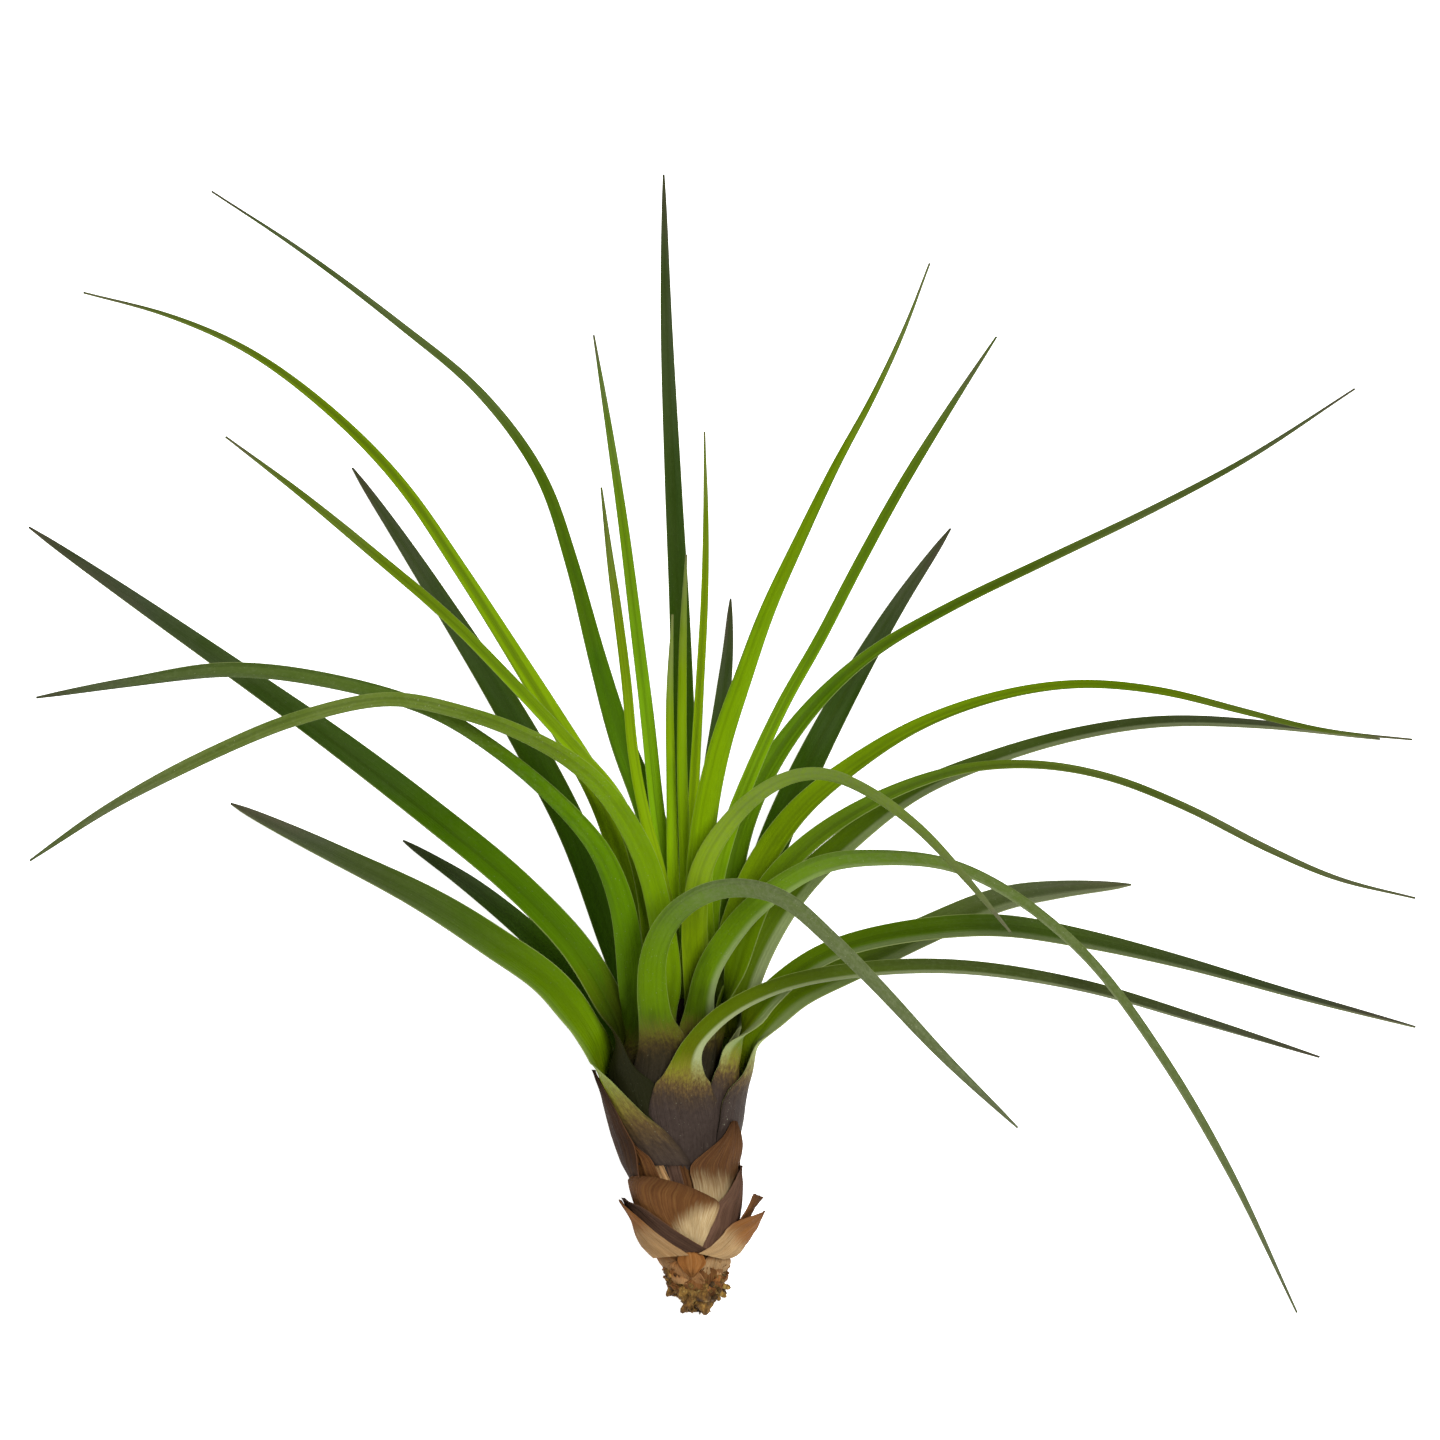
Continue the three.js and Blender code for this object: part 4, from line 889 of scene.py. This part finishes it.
# Broken roots at the root end that show from the front: azimuth and height where each leaves the stem,
# the way it goes as (x, y, z) in millimetres, its radius, and (light, yellow, dark).
BROKEN_ROOTS = [
    (170, 5, (-1.6, -1.6, 0.6), 0.65, (0, 0.3, 0.1)),
    (165, 6.4, (-1.2, -0.3, 0.8), 0.8, (0.05, 0.5, 0)),
    (110, 2.8, (-1.7, -2.8, -0.2), 0.8, (0, 0.2, 0.1)),
    (70, 2, (1.4, -1.7, 0.4), 1.3, (0.1, 0.4, 0)),
    (8, 5.2, (1.7, -0.9, 1), 0.65, (0.35, 1, 0)),
    (20, 4.2, (1.3, -1.4, 0.8), 0.6, (0.25, 1, 0)),
    (35, 6, (1.2, -0.5, 0.8), 0.7, (-0.1, 0.2, 0.3)),
    (150, 7.6, (-1.4, 0.2, 0.8), 0.7, (0, 0.3, 0.2)),
    (78, 3.6, (0.5, -1.6, 1.2), 1.4, (-0.15, 0.2, 0.1)),
    (125, 4.4, (-0.9, -1.4, 1), 0.9, (0.1, 0.6, 0)),
]
ROOT_SEED = 71
ROOT_STUBS = 120
STUB_SIDES = 9
STUB_STEPS = 8


def root_tube(start, way, radius, rng):
    """Rings of points of a bent, lumpy stub that tapers to a broken end."""
    start = np.array(start, float)
    way = np.array(way, float)
    across = unit(np.cross(way, (0.3, 0.2, 1)))
    other = unit(np.cross(way, across))
    bend = (rng.uniform(-0.3, 0.3), rng.uniform(-0.3, 0.3))
    rings = []
    for k in range(STUB_STEPS):
        s = k / (STUB_STEPS - 1)
        middle = start + way * (s * 1.25 - 0.25) + (across * bend[0] + other * bend[1]) * s * s * 2
        size = radius * (1.1 - 0.45 * s) * (1 + 0.15 * rng.uniform(-1, 1)) * (0.55 if s == 1 else 1)
        for j in range(STUB_SIDES):
            angle = 2 * math.pi * j / STUB_SIDES
            wide = size * (1 + 0.12 * rng.uniform(-1, 1))
            rings.append(middle + across * wide * math.cos(angle) + other * wide * math.sin(angle))
    return rings


def make_roots(material):
    """Broken root stubs and torn fibres round the root end, in one piece."""
    rng = random.Random(ROOT_SEED)
    stubs = list(BROKEN_ROOTS)
    for _ in range(ROOT_STUBS):
        azimuth = rng.uniform(0, 360)
        height = rng.uniform(0.8, 7.4)
        length = rng.uniform(0.5, 1.3) * (1.2 if height > 3 else 0.7)
        around = math.radians(azimuth + rng.uniform(-40, 40))
        way = (length * math.cos(around), rng.uniform(-1.3, 0.7), length * math.sin(around))
        tone = (rng.uniform(-0.35, 0.25), rng.uniform(0, 0.7), rng.choice((0, 0.1, 0.3, 0.7)))
        stubs.append((azimuth, height, way, rng.uniform(0.25, 0.8), tone))
    points, faces, tones = [], [], []
    for azimuth, height, way, radius, tone in stubs:
        first = len(points)
        points += root_tube(on_stem(height, azimuth, core_radius(height) - 0.3), way, radius, rng)
        tones += [tone] * (STUB_STEPS * STUB_SIDES)
        faces += [tuple(first + v for v in face) for face in ring_faces(STUB_STEPS, STUB_SIDES)]
    attributes = {"grain": points, "tone": tones}
    make_piece("root_stubs", points, faces, attributes, material, "stem")


def make_camera():
    data = bpy.data.cameras.new("photo_camera")
    data.sensor_width = SENSOR
    data.lens = SENSOR * CAMERA_DISTANCE / VIEW_WIDTH
    data.clip_end = 20
    camera = bpy.data.objects.new("photo_camera", data)
    aim, eye = to_world([CAMERA_AIM, (CAMERA_AIM[0], CAMERA_AIM[1], CAMERA_DISTANCE)])
    back = Vector(eye - aim).normalized()
    right = Vector((1, 0, 0))
    turned = Matrix((right, back.cross(right), back)).transposed().to_4x4()
    camera.matrix_world = Matrix.Translation(Vector(eye)) @ turned
    bpy.context.scene.collection.objects.link(camera)
    bpy.context.scene.camera = camera


def area_light(name, place, size, power):
    data = bpy.data.lights.new(name, "AREA")
    data.shape = "DISK"
    data.size = size
    data.energy = power
    lamp = bpy.data.objects.new(name, data)
    lamp.location = place
    lamp.rotation_euler = (Vector(LIGHT_AIM) - Vector(place)).to_track_quat("-Z", "Y").to_euler()
    bpy.context.scene.collection.objects.link(lamp)


def make_stage():
    mesh = bpy.data.meshes.new("floor")
    corners = [(x * FLOOR_HALF, y * FLOOR_HALF, 0) for x, y in ((-1, -1), (1, -1), (1, 1), (-1, 1))]
    mesh.from_pydata(corners, [], [(0, 1, 2, 3)])
    floor = bpy.data.objects.new("floor", mesh)
    bpy.context.scene.collection.objects.link(floor)
    mesh.materials.append(floor_material())
    world = bpy.data.worlds.new("studio")
    world.use_nodes = True
    world.node_tree.nodes["Background"].inputs[0].default_value = (1, 1, 1, 1)
    world.node_tree.nodes["Background"].inputs[1].default_value = WORLD_STRENGTH
    bpy.context.scene.world = world
    for name, light in LIGHTS.items():
        area_light(name, *light)
    bpy.context.scene.view_settings.view_transform = "Standard"


leaf_materials = {look: leaf_material(look) for look in LOOKS}
for number, leaf in enumerate(LEAVES):
    make_leaf(leaf, number, leaf_materials)
root_skin = root_material()
dry_skin = dry_material()
make_core(root_skin)
make_roots(root_skin)
for number, sheath in enumerate(DRY_SHEATHS + small_scales()):
    make_dry_sheath(number, sheath, dry_skin)
make_camera()
make_stage()
